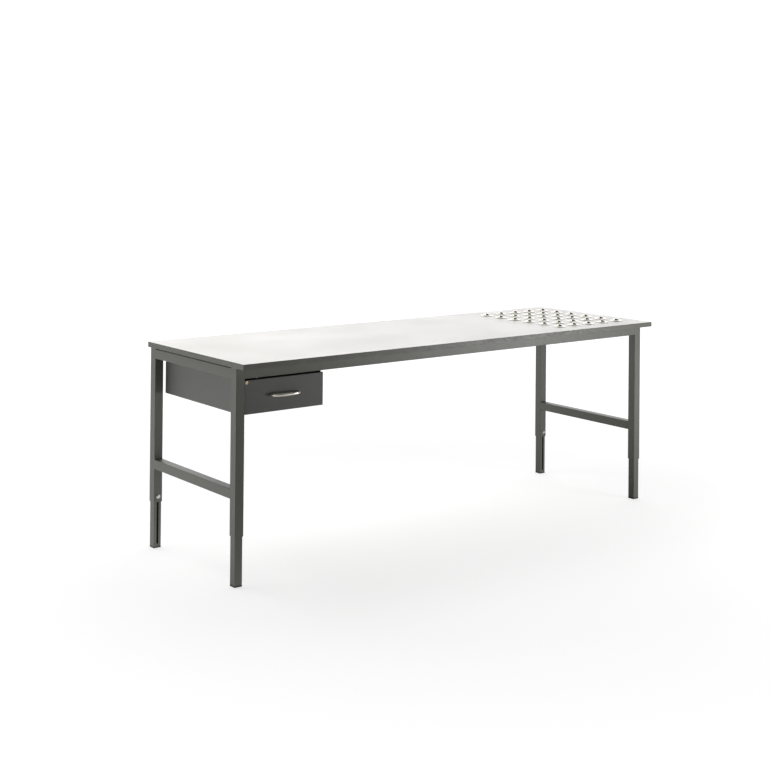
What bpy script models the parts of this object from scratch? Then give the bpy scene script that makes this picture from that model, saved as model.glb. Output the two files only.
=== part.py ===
"""Height adjustable packing workbench with a drawer and a field of ball transfer units.

Frame of the part: origin on the floor under the middle of the worktop, X along the bench to the
right, Y towards the back edge, Z up. All sizes are in metres.
"""
import math

import bmesh
import bpy
from mathutils import Matrix, Vector

# Clearances
GAP = 0.0003                    # between two pieces that touch
RUN_GAP = 0.0005                # between the two tubes of a leg, on each side
OVERRUN = 0.002                 # how far a cutter passes the face it opens
BITE = 0.0012                   # how far two welded or driven pieces reach into each other

# Worktop
TOP_LENGTH = 2.400
TOP_DEPTH = 0.750
WORK_HEIGHT = 0.880             # floor to the work surface
BOARD_THICK = 0.022
BAND_THICK = 0.002              # edge strip
BAND_ROUND = 0.0006

# Steel frame
TUBE = 0.040                    # outer width of every square tube
TUBE_WALL = 0.002
TUBE_ROUND = 0.003
END_OVERHANG = 0.009            # worktop past the frame at each end
BACK_OVERHANG = 0.009
FRONT_OVERHANG = 0.063
CROSSBAR_HEIGHT = 0.340         # floor to the underside of a cross bar
UPRIGHT_END = 0.196             # floor to the open lower end of an upright
VENT_RADIUS = 0.003             # vent hole under each rail and cross bar
VENT_INSET = 0.040              # its centre from the back upright

# Telescopic legs
LEG_WALL = 0.002
LEG_ROUND = 0.0025
LEG_GRIP = 0.035                # leg tube above the upper end of its slot
LEG_EXTEND = 0.105              # travel out of the upright from rest
SLOT_WIDTH = 0.009
SLOT_FOOT = 0.008               # leg tube below the lower end of its slot
SLOT_SPARE = 0.002              # room over the bolt at full extension
FOOT_RIM = 0.006
FOOT_LIP = 0.0007               # rim past the leg tube on each side
FOOT_PLUG = 0.014               # length of the plug inside the leg tube
FOOT_CHAMFER = 0.001

# Leg clamps
BOLT_RISE = 0.024               # bolt axis above the lower end of the upright
BOLT_RADIUS = 0.004
BOLT_HEAD_RADIUS = 0.0075       # centre to corner of the hexagon
BOLT_HEAD_THICK = 0.0053
BOLT_TAIL = 0.002               # bolt past its nut
BOLT_PLAY = 0.0003
WASHER_RADIUS = 0.0088
WASHER_THICK = 0.0016
NUT_WIDTH = 0.022
NUT_THICK = 0.0065

# Lugs on the beams, and screws
LUG_COUNT = 4                   # along each beam
LUG_LENGTH = 0.040
LUG_DEPTH = 0.025
LUG_THICK = 0.003
LUG_CLEAR = 0.100               # first lug's centre past the drawer housing
SCREW_RADIUS = 0.0021
SCREW_HEAD_RADIUS = 0.0050
SCREW_HEAD_THICK = 0.0028
SCREW_PLAY = 0.0004

# Ball transfer units
BALL_COLUMNS = 5
BALL_ROWS = 6
BALL_PITCH = 0.100
BALL_END_MARGIN = 0.120         # last column's centre from the right end
BALL_RADIUS = 0.015
BALL_RISE = 0.0138              # top of a ball over the work surface
BALL_PLAY = 0.0004
FLANGE_RADIUS = 0.030
FLANGE_THICK = 0.0022
COLLAR_RADIUS = 0.0205          # foot of the raised collar on the flange
COLLAR_RISE = 0.0046            # top of the collar over the work surface
COLLAR_LIP = 0.0016             # width of the collar's top
COLLAR_TURN = 0.0024            # where the bore starts to close over the ball

# Drawer front
FRONT_WIDTH = 0.384
FRONT_HEIGHT = 0.135
FRONT_DEEP = 0.0162             # depth of the folded front
FRONT_SHEET = 0.0015
FRONT_FOLD = 0.0018
FRONT_LEG_SIDE = 0.0050         # left edge of the front from the left front upright
FRONT_SETBACK = 0.009           # face of the front behind the face of the uprights
FRONT_DROP = 0.0145             # top edge of the front below the beam

# Drawer housing
HOUSING_INSET = 0.001           # housing side inside the edge of the front
HOUSING_SHEET = 0.0015
HOUSING_DEPTH = 0.603
HOUSING_SKIRT = 0.006           # housing below the lower edge of the front
HOUSING_TOP_LIP = 0.020
HOUSING_LOW_LIP = 0.012
HOUSING_BEHIND = 0.0008         # behind the back of the folded front
HANGER_SHEET = 0.002
HANGER_DEPTH = 0.030
HANGER_SCREW_SIDE = 0.061       # screws from the housing sides
HANGER_SCREW_FRONT = 0.0065     # left screw from the hanger's front edge
HANGER_SCREW_BACK = 0.007       # right screw from the hanger's rear edge

# Drawer tray and its runners
TRAY_SHEET = 0.0012
TRAY_HEIGHT = 0.105
TRAY_RISE = 0.007               # tray floor above the lower edge of the front
TRAY_SPARE = 0.030              # tray ends this far before the housing's back
RUNNER_LENGTH = 0.550
RUNNER_START = 0.003            # runner behind the front edge of the housing
RUNNER_THICK = 0.0127
RUNNER_HEIGHT = 0.045
RUNNER_SHEET = 0.0012
RUNNER_REACH = 0.0088           # flange depth of one runner member

# Handle
HANDLE_SPACING = 0.128
HANDLE_POST = 0.003             # straight start of the bar at each fixing
HANDLE_REACH = 0.0262           # rise of the bow beyond that
HANDLE_RADIUS = 0.0055
HANDLE_SQUARENESS = 2.6         # exponent of the bow, where 2 is an ellipse
HANDLE_POINTS = 13
HANDLE_SCREW_RADIUS = 0.002
HANDLE_SCREW_HEAD = 0.004
HANDLE_SCREW_HEAD_THICK = 0.0024

# Lock
LOCK_INSET = 0.0085             # lock axis from the left and the top edge of the front
LOCK_ROSE_RADIUS = 0.0070
LOCK_ROSE_THICK = 0.0015
LOCK_BODY_RADIUS = 0.0052
LOCK_BODY_LENGTH = 0.024
LOCK_CORE_RADIUS = 0.0038
LOCK_CORE_TAIL = 0.0030
KEYWAY_WIDTH = 0.0012
KEYWAY_HEIGHT = 0.0050
KEYWAY_DEPTH = 0.0060
CAM_LENGTH = 0.0105             # cam tip from the lock axis
CAM_WIDTH = 0.0080
CAM_THICK = 0.0020
CAM_EYE = 0.0055                # cam past the lock axis, away from its tip
CAM_PLAY = 0.0010

# Facets
ROUND_STEPS = 12
SCREW_STEPS = 8
SHANK_STEPS = 6
HEX_STEPS = 6
BALL_RINGS = 6
CORNER_STEPS = 2
FACET_SHARE = math.cos(math.pi / ROUND_STEPS)   # flat to corner ratio of a faceted round
ALIGNED_SHARE = 0.9                             # two directions closer than this count as one
SHARP_ANGLE = math.radians(40)
MERGE = 0.00001

# Places that follow from the sizes
X_LEFT = -TOP_LENGTH / 2
X_RIGHT = TOP_LENGTH / 2
Y_FRONT = -TOP_DEPTH / 2
Y_BACK = TOP_DEPTH / 2
Z_UNDER = WORK_HEIGHT - BOARD_THICK
FRAME_TOP = Z_UNDER - GAP
RAIL_LOW = FRAME_TOP - TUBE
HALF = TUBE / 2
LEG_LEFT = X_LEFT + END_OVERHANG + HALF
LEG_RIGHT = X_RIGHT - END_OVERHANG - HALF
LEG_FRONT = Y_FRONT + FRONT_OVERHANG + HALF
LEG_BACK = Y_BACK - BACK_OVERHANG - HALF
BOLT_Z = UPRIGHT_END + BOLT_RISE
LEG_TUBE = TUBE - 2 * TUBE_WALL - 2 * RUN_GAP
LEG_BORE = LEG_TUBE - 2 * LEG_WALL
LEG_LOW = FOOT_RIM + GAP
SLOT_LOW = LEG_LOW + SLOT_FOOT
SLOT_TOP = BOLT_Z + BOLT_RADIUS + SLOT_SPARE + LEG_EXTEND
LEG_TOP = SLOT_TOP + LEG_GRIP
FRONT_X0 = LEG_LEFT + HALF + FRONT_LEG_SIDE
FRONT_X1 = FRONT_X0 + FRONT_WIDTH
FRONT_Y0 = LEG_FRONT - HALF + FRONT_SETBACK
FRONT_Z1 = RAIL_LOW - FRONT_DROP
FRONT_Z0 = FRONT_Z1 - FRONT_HEIGHT
HOUSING_X0 = FRONT_X0 + HOUSING_INSET
HOUSING_X1 = FRONT_X1 - HOUSING_INSET
HOUSING_Y0 = FRONT_Y0 + FRONT_DEEP + HOUSING_BEHIND
HOUSING_Y1 = HOUSING_Y0 + HOUSING_DEPTH
HOUSING_Z0 = FRONT_Z0 - HOUSING_SKIRT
BACK_Y = HOUSING_Y1 - HOUSING_SHEET
NOTCH_Y = LEG_FRONT + HALF + GAP
HANGER_Y0 = FRONT_Y0 + HOUSING_BEHIND
HANGER_Z = RAIL_LOW - GAP - HANGER_SHEET
RUNNER_Y0 = HOUSING_Y0 + RUNNER_START
TRAY_X0 = HOUSING_X0 + HOUSING_SHEET + GAP + RUNNER_THICK + GAP
TRAY_X1 = HOUSING_X1 - HOUSING_SHEET - GAP - RUNNER_THICK - GAP
TRAY_Y0 = FRONT_Y0 + FRONT_SHEET + GAP
TRAY_Y1 = BACK_Y - HOUSING_SHEET - TRAY_SPARE
TRAY_Z0 = FRONT_Z0 + TRAY_RISE
RUNNER_Z = TRAY_Z0 + TRAY_HEIGHT / 2
LOCK_X = FRONT_X0 + LOCK_INSET
LOCK_Z = FRONT_Z1 - LOCK_INSET
HANDLE_X = (FRONT_X0 + FRONT_X1) / 2
HANDLE_Z = (FRONT_Z0 + FRONT_Z1) / 2
BALL_Z = WORK_HEIGHT + BALL_RISE - BALL_RADIUS
BALL_X0 = X_RIGHT - BALL_END_MARGIN - BALL_PITCH * (BALL_COLUMNS - 1)
BALL_Y0 = -BALL_PITCH * (BALL_ROWS - 1) / 2

COLOURS = {                     # base colour, roughness, metallic
    "laminate": ((0.80, 0.79, 0.76), 0.45, 0.0),
    "edging": ((0.075, 0.077, 0.070), 0.50, 0.0),
    "frame_paint": ((0.085, 0.087, 0.080), 0.45, 0.0),
    "drawer_paint": ((0.080, 0.082, 0.076), 0.42, 0.0),
    "zinc": ((0.72, 0.72, 0.70), 0.30, 1.0),
    "ball_steel": ((0.70, 0.70, 0.69), 0.12, 1.0),
    "satin_metal": ((0.78, 0.75, 0.70), 0.25, 1.0),
    "brass": ((0.80, 0.66, 0.42), 0.30, 1.0),
    "black_plastic": ((0.020, 0.020, 0.020), 0.50, 0.0),
}


def clear_scene():
    """Removes every object, so that the file holds only the bench."""
    for item in list(bpy.data.objects):
        bpy.data.objects.remove(item, do_unlink=True)


def new_collection(name):
    """Returns a new collection in the scene."""
    group = bpy.data.collections.new(name)
    bpy.context.scene.collection.children.link(group)
    return group


clear_scene()
BENCH = new_collection("workbench")
CUTTERS = new_collection("cutters")


# Materials and objects

def paint(name, kind):
    """Makes a plain Principled material."""
    colour, roughness, metallic = COLOURS[kind]
    made = bpy.data.materials.new(name)
    made.use_nodes = True
    shader = made.node_tree.nodes["Principled BSDF"]
    shader.inputs["Base Color"].default_value = (*colour, 1.0)
    shader.inputs["Roughness"].default_value = roughness
    shader.inputs["Metallic"].default_value = metallic
    made.diffuse_color = (*colour, 1.0)
    return made


def mesh_from(work, name):
    """Turns a bmesh into a mesh and frees it."""
    bmesh.ops.recalc_face_normals(work, faces=work.faces[:])
    mesh = bpy.data.meshes.new(name)
    work.to_mesh(mesh)
    work.free()
    return mesh


def piece(name, mesh, kind, origin=None, parent=None):
    """Makes a named piece of the bench from a mesh in world coordinates, and sets its origin."""
    if isinstance(mesh, bmesh.types.BMesh):
        mesh = mesh_from(mesh, name)
    if origin is None:
        corners_low = [min(vertex.co[axis] for vertex in mesh.vertices) for axis in range(3)]
        corners_high = [max(vertex.co[axis] for vertex in mesh.vertices) for axis in range(3)]
        origin = (Vector(corners_low) + Vector(corners_high)) / 2
    origin = Vector(origin)
    mesh.transform(Matrix.Translation(-origin))
    mesh.materials.clear()
    mesh.materials.append(paint(name, kind))
    made = bpy.data.objects.new(name, mesh)
    made.location = origin
    BENCH.objects.link(made)
    if parent:
        made.parent = parent
        made.location = origin - parent.location
    return made


def cutter(name, mesh, place=(0, 0, 0)):
    """Makes a hidden object for a Boolean."""
    if isinstance(mesh, bmesh.types.BMesh):
        mesh = mesh_from(mesh, name)
    made = bpy.data.objects.new(name, mesh)
    made.location = place
    made.hide_render = True
    made.display_type = "WIRE"
    CUTTERS.objects.link(made)
    return made


def combine(target, tool, operation="DIFFERENCE"):
    """Adds one Boolean to an object."""
    step = target.modifiers.new(tool.name, "BOOLEAN")
    step.operation = operation
    step.solver = "EXACT"
    step.object = tool


def cut(target, works, label):
    """Cuts bodies out of a piece."""
    name = target.name + "_" + label
    combine(target, cutter(name, join(works)))


def add(target, works, label):
    """Welds bodies onto a piece."""
    name = target.name + "_" + label
    combine(target, cutter(name, join(works)), "UNION")


def axis_empty(name, place):
    """An empty that stands where a moving group slides or turns."""
    mark = bpy.data.objects.new(name, None)
    mark.empty_display_type = "SINGLE_ARROW"
    mark.empty_display_size = TUBE
    mark.location = place
    BENCH.objects.link(mark)
    return mark


# Shapes

def block(low, high):
    """A bmesh box between two corners."""
    work = bmesh.new()
    low, high = Vector(low), Vector(high)
    bmesh.ops.create_cube(work, size=1.0)
    bmesh.ops.scale(work, vec=high - low, verts=work.verts)
    bmesh.ops.translate(work, vec=(low + high) / 2, verts=work.verts)
    work.normal_update()
    return work


def prism(low, high, axis, radius, steps=CORNER_STEPS):
    """A box whose four edges along one axis are rounded."""
    work = block(low, high)
    along = []
    for edge in work.edges:
        run = edge.verts[1].co - edge.verts[0].co
        if abs(run[axis]) > run.length * ALIGNED_SHARE:
            along.append(edge)
    bmesh.ops.bevel(work, geom=along, offset=radius, segments=steps, affect="EDGES", profile=0.5)
    return work


def rod(start, end, radius, steps=ROUND_STEPS):
    """A cylinder from one point to another."""
    work = bmesh.new()
    start, end = Vector(start), Vector(end)
    run = end - start
    bmesh.ops.create_cone(work, cap_ends=True, segments=steps, radius1=radius, radius2=radius,
                          depth=run.length)
    turn = run.to_track_quat("Z", "Y").to_matrix().to_4x4()
    place = Matrix.Translation((start + end) / 2)
    bmesh.ops.transform(work, matrix=place @ turn, verts=work.verts)
    return work


def join(works):
    """Puts several bmeshes into the first one."""
    whole = works[0]
    for extra in works[1:]:
        spare = bpy.data.meshes.new("spare")
        extra.to_mesh(spare)
        extra.free()
        whole.from_mesh(spare)
        bpy.data.meshes.remove(spare)
    return whole


def mesh_of_curve(name, curve):
    """The welded mesh of a curve with its caps."""
    guide = bpy.data.objects.new(name + "_guide", curve)
    CUTTERS.objects.link(guide)
    bpy.context.view_layer.update()
    seen = guide.evaluated_get(bpy.context.evaluated_depsgraph_get())
    mesh = bpy.data.meshes.new_from_object(seen)
    bpy.data.objects.remove(guide, do_unlink=True)
    work = bmesh.new()
    work.from_mesh(mesh)
    bpy.data.meshes.remove(mesh)
    bmesh.ops.remove_doubles(work, verts=work.verts, dist=MERGE)
    return work


def folded(name, points, low_y, high_y):
    """A bmesh of a folded sheet: its outline in X and Z, run along Y."""
    flat = bpy.data.curves.new(name, "CURVE")
    flat.dimensions = "2D"
    flat.fill_mode = "BOTH"
    flat.extrude = (high_y - low_y) / 2
    run = flat.splines.new("POLY")
    run.points.add(len(points) - 1)
    for spot, (x, z) in zip(run.points, points):
        spot.co = (x, z, 0, 1)
    run.use_cyclic_u = True
    work = mesh_of_curve(name, flat)
    stand = Matrix.Rotation(math.pi / 2, 4, "X")
    place = Matrix.Translation((0, (low_y + high_y) / 2, 0))
    bmesh.ops.transform(work, matrix=place @ stand, verts=work.verts)
    return work


def turned(target, profile, closed):
    """Gives an object a profile of radius and height pairs, outer side top to bottom, and turns it."""
    work = bmesh.new()
    corners = [work.verts.new((radius, 0, height)) for radius, height in profile]
    ends = corners[1:] + corners[:1] if closed else corners[1:]
    for here, there in zip(corners, ends):
        work.edges.new((here, there))
    work.to_mesh(target.data)
    work.free()
    spin = target.modifiers.new("turn", "SCREW")
    spin.steps = ROUND_STEPS
    spin.render_steps = ROUND_STEPS
    spin.use_merge_vertices = True
    spin.merge_threshold = MERGE


def open_box(low, high, open_side):
    """The faces of a box without the one that looks along open_side."""
    work = block(low, high)
    gone = [face for face in work.faces if face.normal.dot(Vector(open_side)) > ALIGNED_SHARE]
    bmesh.ops.delete(work, geom=gone, context="FACES_ONLY")
    return work


def wall(target, sheet):
    """Gives an open box its sheet thickness, inwards."""
    shell = target.modifiers.new("sheet", "SOLIDIFY")
    shell.thickness = sheet
    shell.offset = -1
    shell.use_even_offset = True


# Places that several pieces share

def corners():
    """Yields each leg's name, its centre and the way its clamp faces along Y."""
    for depth_name, y, facing in (("front", LEG_FRONT, 1), ("back", LEG_BACK, -1)):
        for side_name, x in (("left", LEG_LEFT), ("right", LEG_RIGHT)):
            yield depth_name + "_" + side_name, x, y, facing


def lug_xs():
    """Lugs along a beam, from beside the drawer housing to between two ball columns."""
    first = HOUSING_X1 + LUG_CLEAR
    last = BALL_X0 + BALL_PITCH * (BALL_COLUMNS - 2) + BALL_PITCH / 2
    step = (last - first) / (LUG_COUNT - 1)
    return [first + step * index for index in range(LUG_COUNT)]


def lug_screws():
    """Screw places in the lugs of both beams."""
    inset = HALF + LUG_DEPTH / 2
    return [(x, y) for y in (LEG_FRONT + inset, LEG_BACK - inset) for x in lug_xs()]


def housing_screws():
    """Screw places in the top lips of the drawer housing."""
    inset = (HOUSING_SHEET + HOUSING_TOP_LIP) / 2
    quarter = (HOUSING_Y1 - NOTCH_Y) / 4
    return [(x, y) for x in (HOUSING_X0 + inset, HOUSING_X1 - inset)
            for y in (NOTCH_Y + quarter, HOUSING_Y1 - quarter)]


def hanger_screws():
    """The two screws that hold the drawer housing under the front beam."""
    return [(HOUSING_X0 + HANGER_SCREW_SIDE, HANGER_Y0 + HANGER_SCREW_FRONT),
            (HOUSING_X1 - HANGER_SCREW_SIDE, HANGER_Y0 + HANGER_DEPTH - HANGER_SCREW_BACK)]


def handle_screws():
    """The two fixings of the handle, in X."""
    return [HANDLE_X - HANDLE_SPACING / 2, HANDLE_X + HANDLE_SPACING / 2]


def screw_holes(places, low, high):
    """Clearance holes along Z for pan head screws."""
    return [rod((x, y, low - OVERRUN), (x, y, high + OVERRUN), SCREW_RADIUS + SCREW_PLAY, SCREW_STEPS)
            for x, y in places]


def drive_screws(target, label, places, seat, root):
    """Pan head screws that come from below: head under the seat height, shank up into the target."""
    heads, shanks = [], []
    for x, y in places:
        top = seat - GAP
        heads.append(rod((x, y, top - SCREW_HEAD_THICK), (x, y, top), SCREW_HEAD_RADIUS, SCREW_STEPS))
        shanks.append(rod((x, y, top - SCREW_HEAD_THICK / 2), (x, y, root + BITE), SCREW_RADIUS,
                          SHANK_STEPS))
    add(target, shanks, label + "_shanks")
    add(target, heads, label + "_heads")


# The bench

def ball_grid(target):
    """Repeats an object over the field of ball units."""
    for label, offset, count in (("rows", (0, BALL_PITCH, 0), BALL_ROWS),
                                 ("columns", (BALL_PITCH, 0, 0), BALL_COLUMNS)):
        step = target.modifiers.new(label, "ARRAY")
        step.use_relative_offset = False
        step.use_constant_offset = True
        step.constant_offset_displace = offset
        step.count = count
        step.use_merge_vertices = False


def make_worktop():
    """The faced board with the cups that are pressed into it and the screws driven into it."""
    low = (X_LEFT + BAND_THICK + GAP, Y_FRONT + BAND_THICK + GAP, Z_UNDER)
    high = (X_RIGHT - BAND_THICK - GAP, Y_BACK - BAND_THICK - GAP, WORK_HEIGHT)
    board = piece("worktop", block(low, high), "laminate")
    centre = BALL_Z - WORK_HEIGHT
    half_mouth = math.sqrt(BALL_RADIUS ** 2 - (COLLAR_RISE - centre) ** 2)
    mouth = (half_mouth + BALL_PLAY) / FACET_SHARE
    bore = (BALL_RADIUS + BALL_PLAY) / FACET_SHARE
    floor = centre - BALL_RADIUS - BALL_PLAY
    outside = [(0, COLLAR_RISE), (mouth + COLLAR_LIP, COLLAR_RISE), (COLLAR_RADIUS, FLANGE_THICK),
               (FLANGE_RADIUS, FLANGE_THICK), (FLANGE_RADIUS, -BITE), (0, -BITE)]
    inside = [(0, COLLAR_RISE + OVERRUN), (mouth, COLLAR_RISE + OVERRUN), (mouth, COLLAR_RISE),
              (bore, COLLAR_TURN), (bore, floor), (0, floor)]
    first = (BALL_X0, BALL_Y0, WORK_HEIGHT)
    for label, profile, operation in (("ball_cups", outside, "UNION"),
                                      ("ball_pockets", inside, "DIFFERENCE")):
        tool = cutter(label, bpy.data.meshes.new(label), first)
        turned(tool, profile, closed=False)
        ball_grid(tool)
        combine(board, tool, operation)
    drive_screws(board, "lug_screws", lug_screws(), FRAME_TOP - LUG_THICK, Z_UNDER)
    drive_screws(board, "housing_screws", housing_screws(), FRAME_TOP - HOUSING_SHEET, Z_UNDER)


def make_edge_band():
    """The strip glued round the edge of the board."""
    work = block((X_LEFT, Y_FRONT, Z_UNDER), (X_RIGHT, Y_BACK, WORK_HEIGHT))
    bmesh.ops.bevel(work, geom=work.edges[:], offset=BAND_ROUND, segments=1, affect="EDGES",
                    profile=0.5)
    band = piece("edge_band", work, "edging")
    hole = block((X_LEFT + BAND_THICK, Y_FRONT + BAND_THICK, Z_UNDER - OVERRUN),
                 (X_RIGHT - BAND_THICK, Y_BACK - BAND_THICK, WORK_HEIGHT + OVERRUN))
    cut(band, [hole], "inside")


def bore_block(low, high, axis, past):
    """The inside of a square tube, run past its ends or kept short of them."""
    low = [value + TUBE_WALL for value in low]
    high = [value - TUBE_WALL for value in high]
    low[axis] = low[axis] - TUBE_WALL - past
    high[axis] = high[axis] + TUBE_WALL + past
    return block(low, high)


def make_side_frame(side_name, x):
    """One welded end frame: two uprights, a top rail and a cross bar."""
    posts = [((x - HALF, y - HALF, UPRIGHT_END), (x + HALF, y + HALF, FRAME_TOP))
             for y in (LEG_FRONT, LEG_BACK)]
    bars = [((x - HALF, LEG_FRONT + HALF, z), (x + HALF, LEG_BACK - HALF, z + TUBE))
            for z in (RAIL_LOW, CROSSBAR_HEIGHT)]
    frame = piece("side_frame_" + side_name, prism(*posts[0], 2, TUBE_ROUND), "frame_paint",
                  origin=(x, LEG_FRONT, UPRIGHT_END))
    add(frame, [prism(*posts[1], 2, TUBE_ROUND)], "post")
    for low, high in bars:
        solid = prism((low[0], low[1] - BITE, low[2]), (high[0], high[1] + BITE, high[2]), 1, TUBE_ROUND)
        add(frame, [solid], "bar")
    cut(frame, [bore_block(*ends, 2, OVERRUN) for ends in posts], "post_bores")
    cut(frame, [bore_block(*ends, 1, 0) for ends in bars], "bar_bores")
    vent = LEG_BACK - HALF - VENT_INSET
    cut(frame, [rod((x, vent, z - OVERRUN), (x, vent, z + TUBE_WALL + OVERRUN), VENT_RADIUS, SCREW_STEPS)
                for z in (RAIL_LOW, CROSSBAR_HEIGHT)], "vents")
    reach = OVERRUN + TUBE_WALL
    holes = []
    for _name, leg_x, y, facing in corners():
        if leg_x == x:
            face = y + facing * HALF
            holes.append(rod((x, face + facing * OVERRUN, BOLT_Z), (x, face - facing * reach, BOLT_Z),
                             (BOLT_RADIUS + BOLT_PLAY) / FACET_SHARE))
    cut(frame, holes, "bolt_holes")


def make_beam(depth_name, y, inward):
    """A long beam between the end frames, with the lugs that carry the worktop."""
    low = (LEG_LEFT + HALF + GAP, y - HALF, RAIL_LOW)
    high = (LEG_RIGHT - HALF - GAP, y + HALF, FRAME_TOP)
    beam = piece("beam_" + depth_name, prism(low, high, 0, TUBE_ROUND), "frame_paint")
    face = y + inward * HALF
    lugs = []
    for x in lug_xs():
        near, far = sorted((face - inward * BITE, face + inward * LUG_DEPTH))
        lugs.append(block((x - LUG_LENGTH / 2, near, FRAME_TOP - LUG_THICK),
                          (x + LUG_LENGTH / 2, far, FRAME_TOP)))
    add(beam, lugs, "lugs")
    cut(beam, [bore_block(low, high, 0, OVERRUN)], "bore")
    cut(beam, screw_holes([(x, face + inward * LUG_DEPTH / 2) for x in lug_xs()],
                          FRAME_TOP - LUG_THICK, FRAME_TOP), "screw_holes")
    if inward > 0:
        drive_screws(beam, "hanger_screws", hanger_screws(), HANGER_Z, RAIL_LOW)


def make_leg(name, x, y, facing):
    """One leg tube with its slot, and the plastic foot that plugs into it."""
    slide = axis_empty("leg_slide_" + name, (x, y, 0))
    half = LEG_TUBE / 2
    leg = piece("leg_" + name, prism((x - half, y - half, LEG_LOW), (x + half, y + half, LEG_TOP), 2,
                                     LEG_ROUND), "frame_paint", (x, y, LEG_LOW), slide)
    inner = LEG_BORE / 2
    cut(leg, [block((x - inner, y - inner, LEG_LOW - OVERRUN), (x + inner, y + inner, LEG_TOP + OVERRUN))],
        "bore")
    face = y + facing * half
    near, far = sorted((face + facing * OVERRUN, face - facing * (LEG_WALL + OVERRUN)))
    slot = prism((x - SLOT_WIDTH / 2, near, SLOT_LOW), (x + SLOT_WIDTH / 2, far, SLOT_TOP), 1,
                 SLOT_WIDTH / 2 - GAP)
    cut(leg, [slot], "slot")
    rim = half + FOOT_LIP
    work = prism((x - rim, y - rim, 0), (x + rim, y + rim, FOOT_RIM), 2, LEG_ROUND)
    work.normal_update()
    under = [edge for side in work.faces if side.normal.z < -ALIGNED_SHARE for edge in side.edges]
    bmesh.ops.bevel(work, geom=under, offset=FOOT_CHAMFER, segments=1, affect="EDGES", profile=0.5)
    foot = piece("foot_" + name, work, "black_plastic", (x, y, 0), slide)
    plug = inner - GAP
    add(foot, [block((x - plug, y - plug, FOOT_RIM - BITE), (x + plug, y + plug, FOOT_RIM + FOOT_PLUG))],
        "plug")


def make_clamp(name, x, y, facing):
    """The bolt that clamps a leg tube in its upright, done up in its washer and nut."""
    face = y + facing * HALF

    def at(distance):
        return (x, face + facing * distance, BOLT_Z)

    washer_out = GAP + WASHER_THICK
    head_out = washer_out + BOLT_HEAD_THICK
    nut_out = -(TUBE_WALL + RUN_GAP + LEG_WALL + GAP)
    tail = nut_out - NUT_THICK - BOLT_TAIL
    head = rod(at(head_out), at(washer_out - BITE), BOLT_HEAD_RADIUS, HEX_STEPS)
    clamp = piece("clamp_bolt_" + name, head, "zinc", at(0))
    add(clamp, [rod(at(GAP), at(washer_out), WASHER_RADIUS)], "washer")
    add(clamp, [rod(at(washer_out), at(tail), BOLT_RADIUS)], "shank")
    side = NUT_WIDTH / 2
    near, far = sorted((at(nut_out)[1], at(nut_out - NUT_THICK)[1]))
    add(clamp, [block((x - side, near, BOLT_Z - side), (x + side, far, BOLT_Z + side))], "nut")


def make_balls():
    """The steel balls, each free to roll in its cup."""
    work = bmesh.new()
    bmesh.ops.create_uvsphere(work, u_segments=ROUND_STEPS, v_segments=BALL_RINGS, radius=BALL_RADIUS,
                              matrix=Matrix.Rotation(math.pi / 2, 4, "X"))
    mesh = mesh_from(work, "ball")
    mesh.shade_smooth()
    mesh.materials.append(paint("ball", "ball_steel"))
    for column in range(BALL_COLUMNS):
        for row in range(BALL_ROWS):
            ball = bpy.data.objects.new("ball_{}_{}".format(column + 1, row + 1), mesh)
            ball.location = (BALL_X0 + column * BALL_PITCH, BALL_Y0 + row * BALL_PITCH, BALL_Z)
            BENCH.objects.link(ball)


def housing_side(x_web, way):
    """Outline of one side plate, with an inward lip at the top and at the bottom."""
    inner = x_web + way * HOUSING_SHEET
    low_lip = x_web + way * HOUSING_LOW_LIP
    top_lip = x_web + way * HOUSING_TOP_LIP
    low_in = HOUSING_Z0 + HOUSING_SHEET
    top_in = FRAME_TOP - HOUSING_SHEET
    return [(x_web, HOUSING_Z0), (low_lip, HOUSING_Z0), (low_lip, low_in), (inner, low_in),
            (inner, top_in), (top_lip, top_in), (top_lip, FRAME_TOP), (x_web, FRAME_TOP)]


def make_housing():
    """The sheet housing that the drawer runs in, with the strip that hangs it under the beam."""
    left = folded("housing_left", housing_side(HOUSING_X0, 1), HOUSING_Y0, HOUSING_Y1)
    right = folded("housing_right", housing_side(HOUSING_X1, -1), HOUSING_Y0, HOUSING_Y1)
    housing = piece("drawer_housing", left, "drawer_paint", (HOUSING_X0, HOUSING_Y0, HOUSING_Z0))
    weld = HOUSING_SHEET / 2
    add(housing, [right], "right")
    back = block((HOUSING_X0 + weld, BACK_Y - HOUSING_SHEET, HOUSING_Z0 + weld),
                 (HOUSING_X1 - weld, BACK_Y, FRAME_TOP - weld))
    add(housing, [back], "back")
    notch = block((HOUSING_X0 - OVERRUN, HOUSING_Y0 - OVERRUN, HANGER_Z + HANGER_SHEET / 2),
                  (HOUSING_X1 + OVERRUN, NOTCH_Y, FRAME_TOP + OVERRUN))
    cut(housing, [notch], "notch")
    strip = block((HOUSING_X0 + weld, HANGER_Y0, HANGER_Z),
                  (HOUSING_X1 - weld, HANGER_Y0 + HANGER_DEPTH, HANGER_Z + HANGER_SHEET))
    add(housing, [strip], "hanger")
    cut(housing, screw_holes(hanger_screws(), HANGER_Z, HANGER_Z + HANGER_SHEET), "hanger_holes")
    cut(housing, screw_holes(housing_screws(), FRAME_TOP - HOUSING_SHEET, FRAME_TOP), "lip_holes")
    cut(housing, [cam_slot()], "cam_slot")


def cam_slot():
    """The opening in the left side plate that the lock's cam swings into."""
    near = LOCK_X - HOUSING_X0 - HOUSING_SHEET
    reach = math.hypot(CAM_LENGTH, CAM_WIDTH / 2)
    drop = math.sqrt(reach ** 2 - near ** 2) + CAM_PLAY
    cam_y = FRONT_Y0 + LOCK_BODY_LENGTH + GAP
    return block((HOUSING_X0 - OVERRUN, cam_y - CAM_PLAY, LOCK_Z - drop),
                 (HOUSING_X0 + HOUSING_SHEET + OVERRUN, cam_y + CAM_THICK + CAM_PLAY,
                  LOCK_Z + CAM_WIDTH / 2 + CAM_PLAY))


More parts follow.
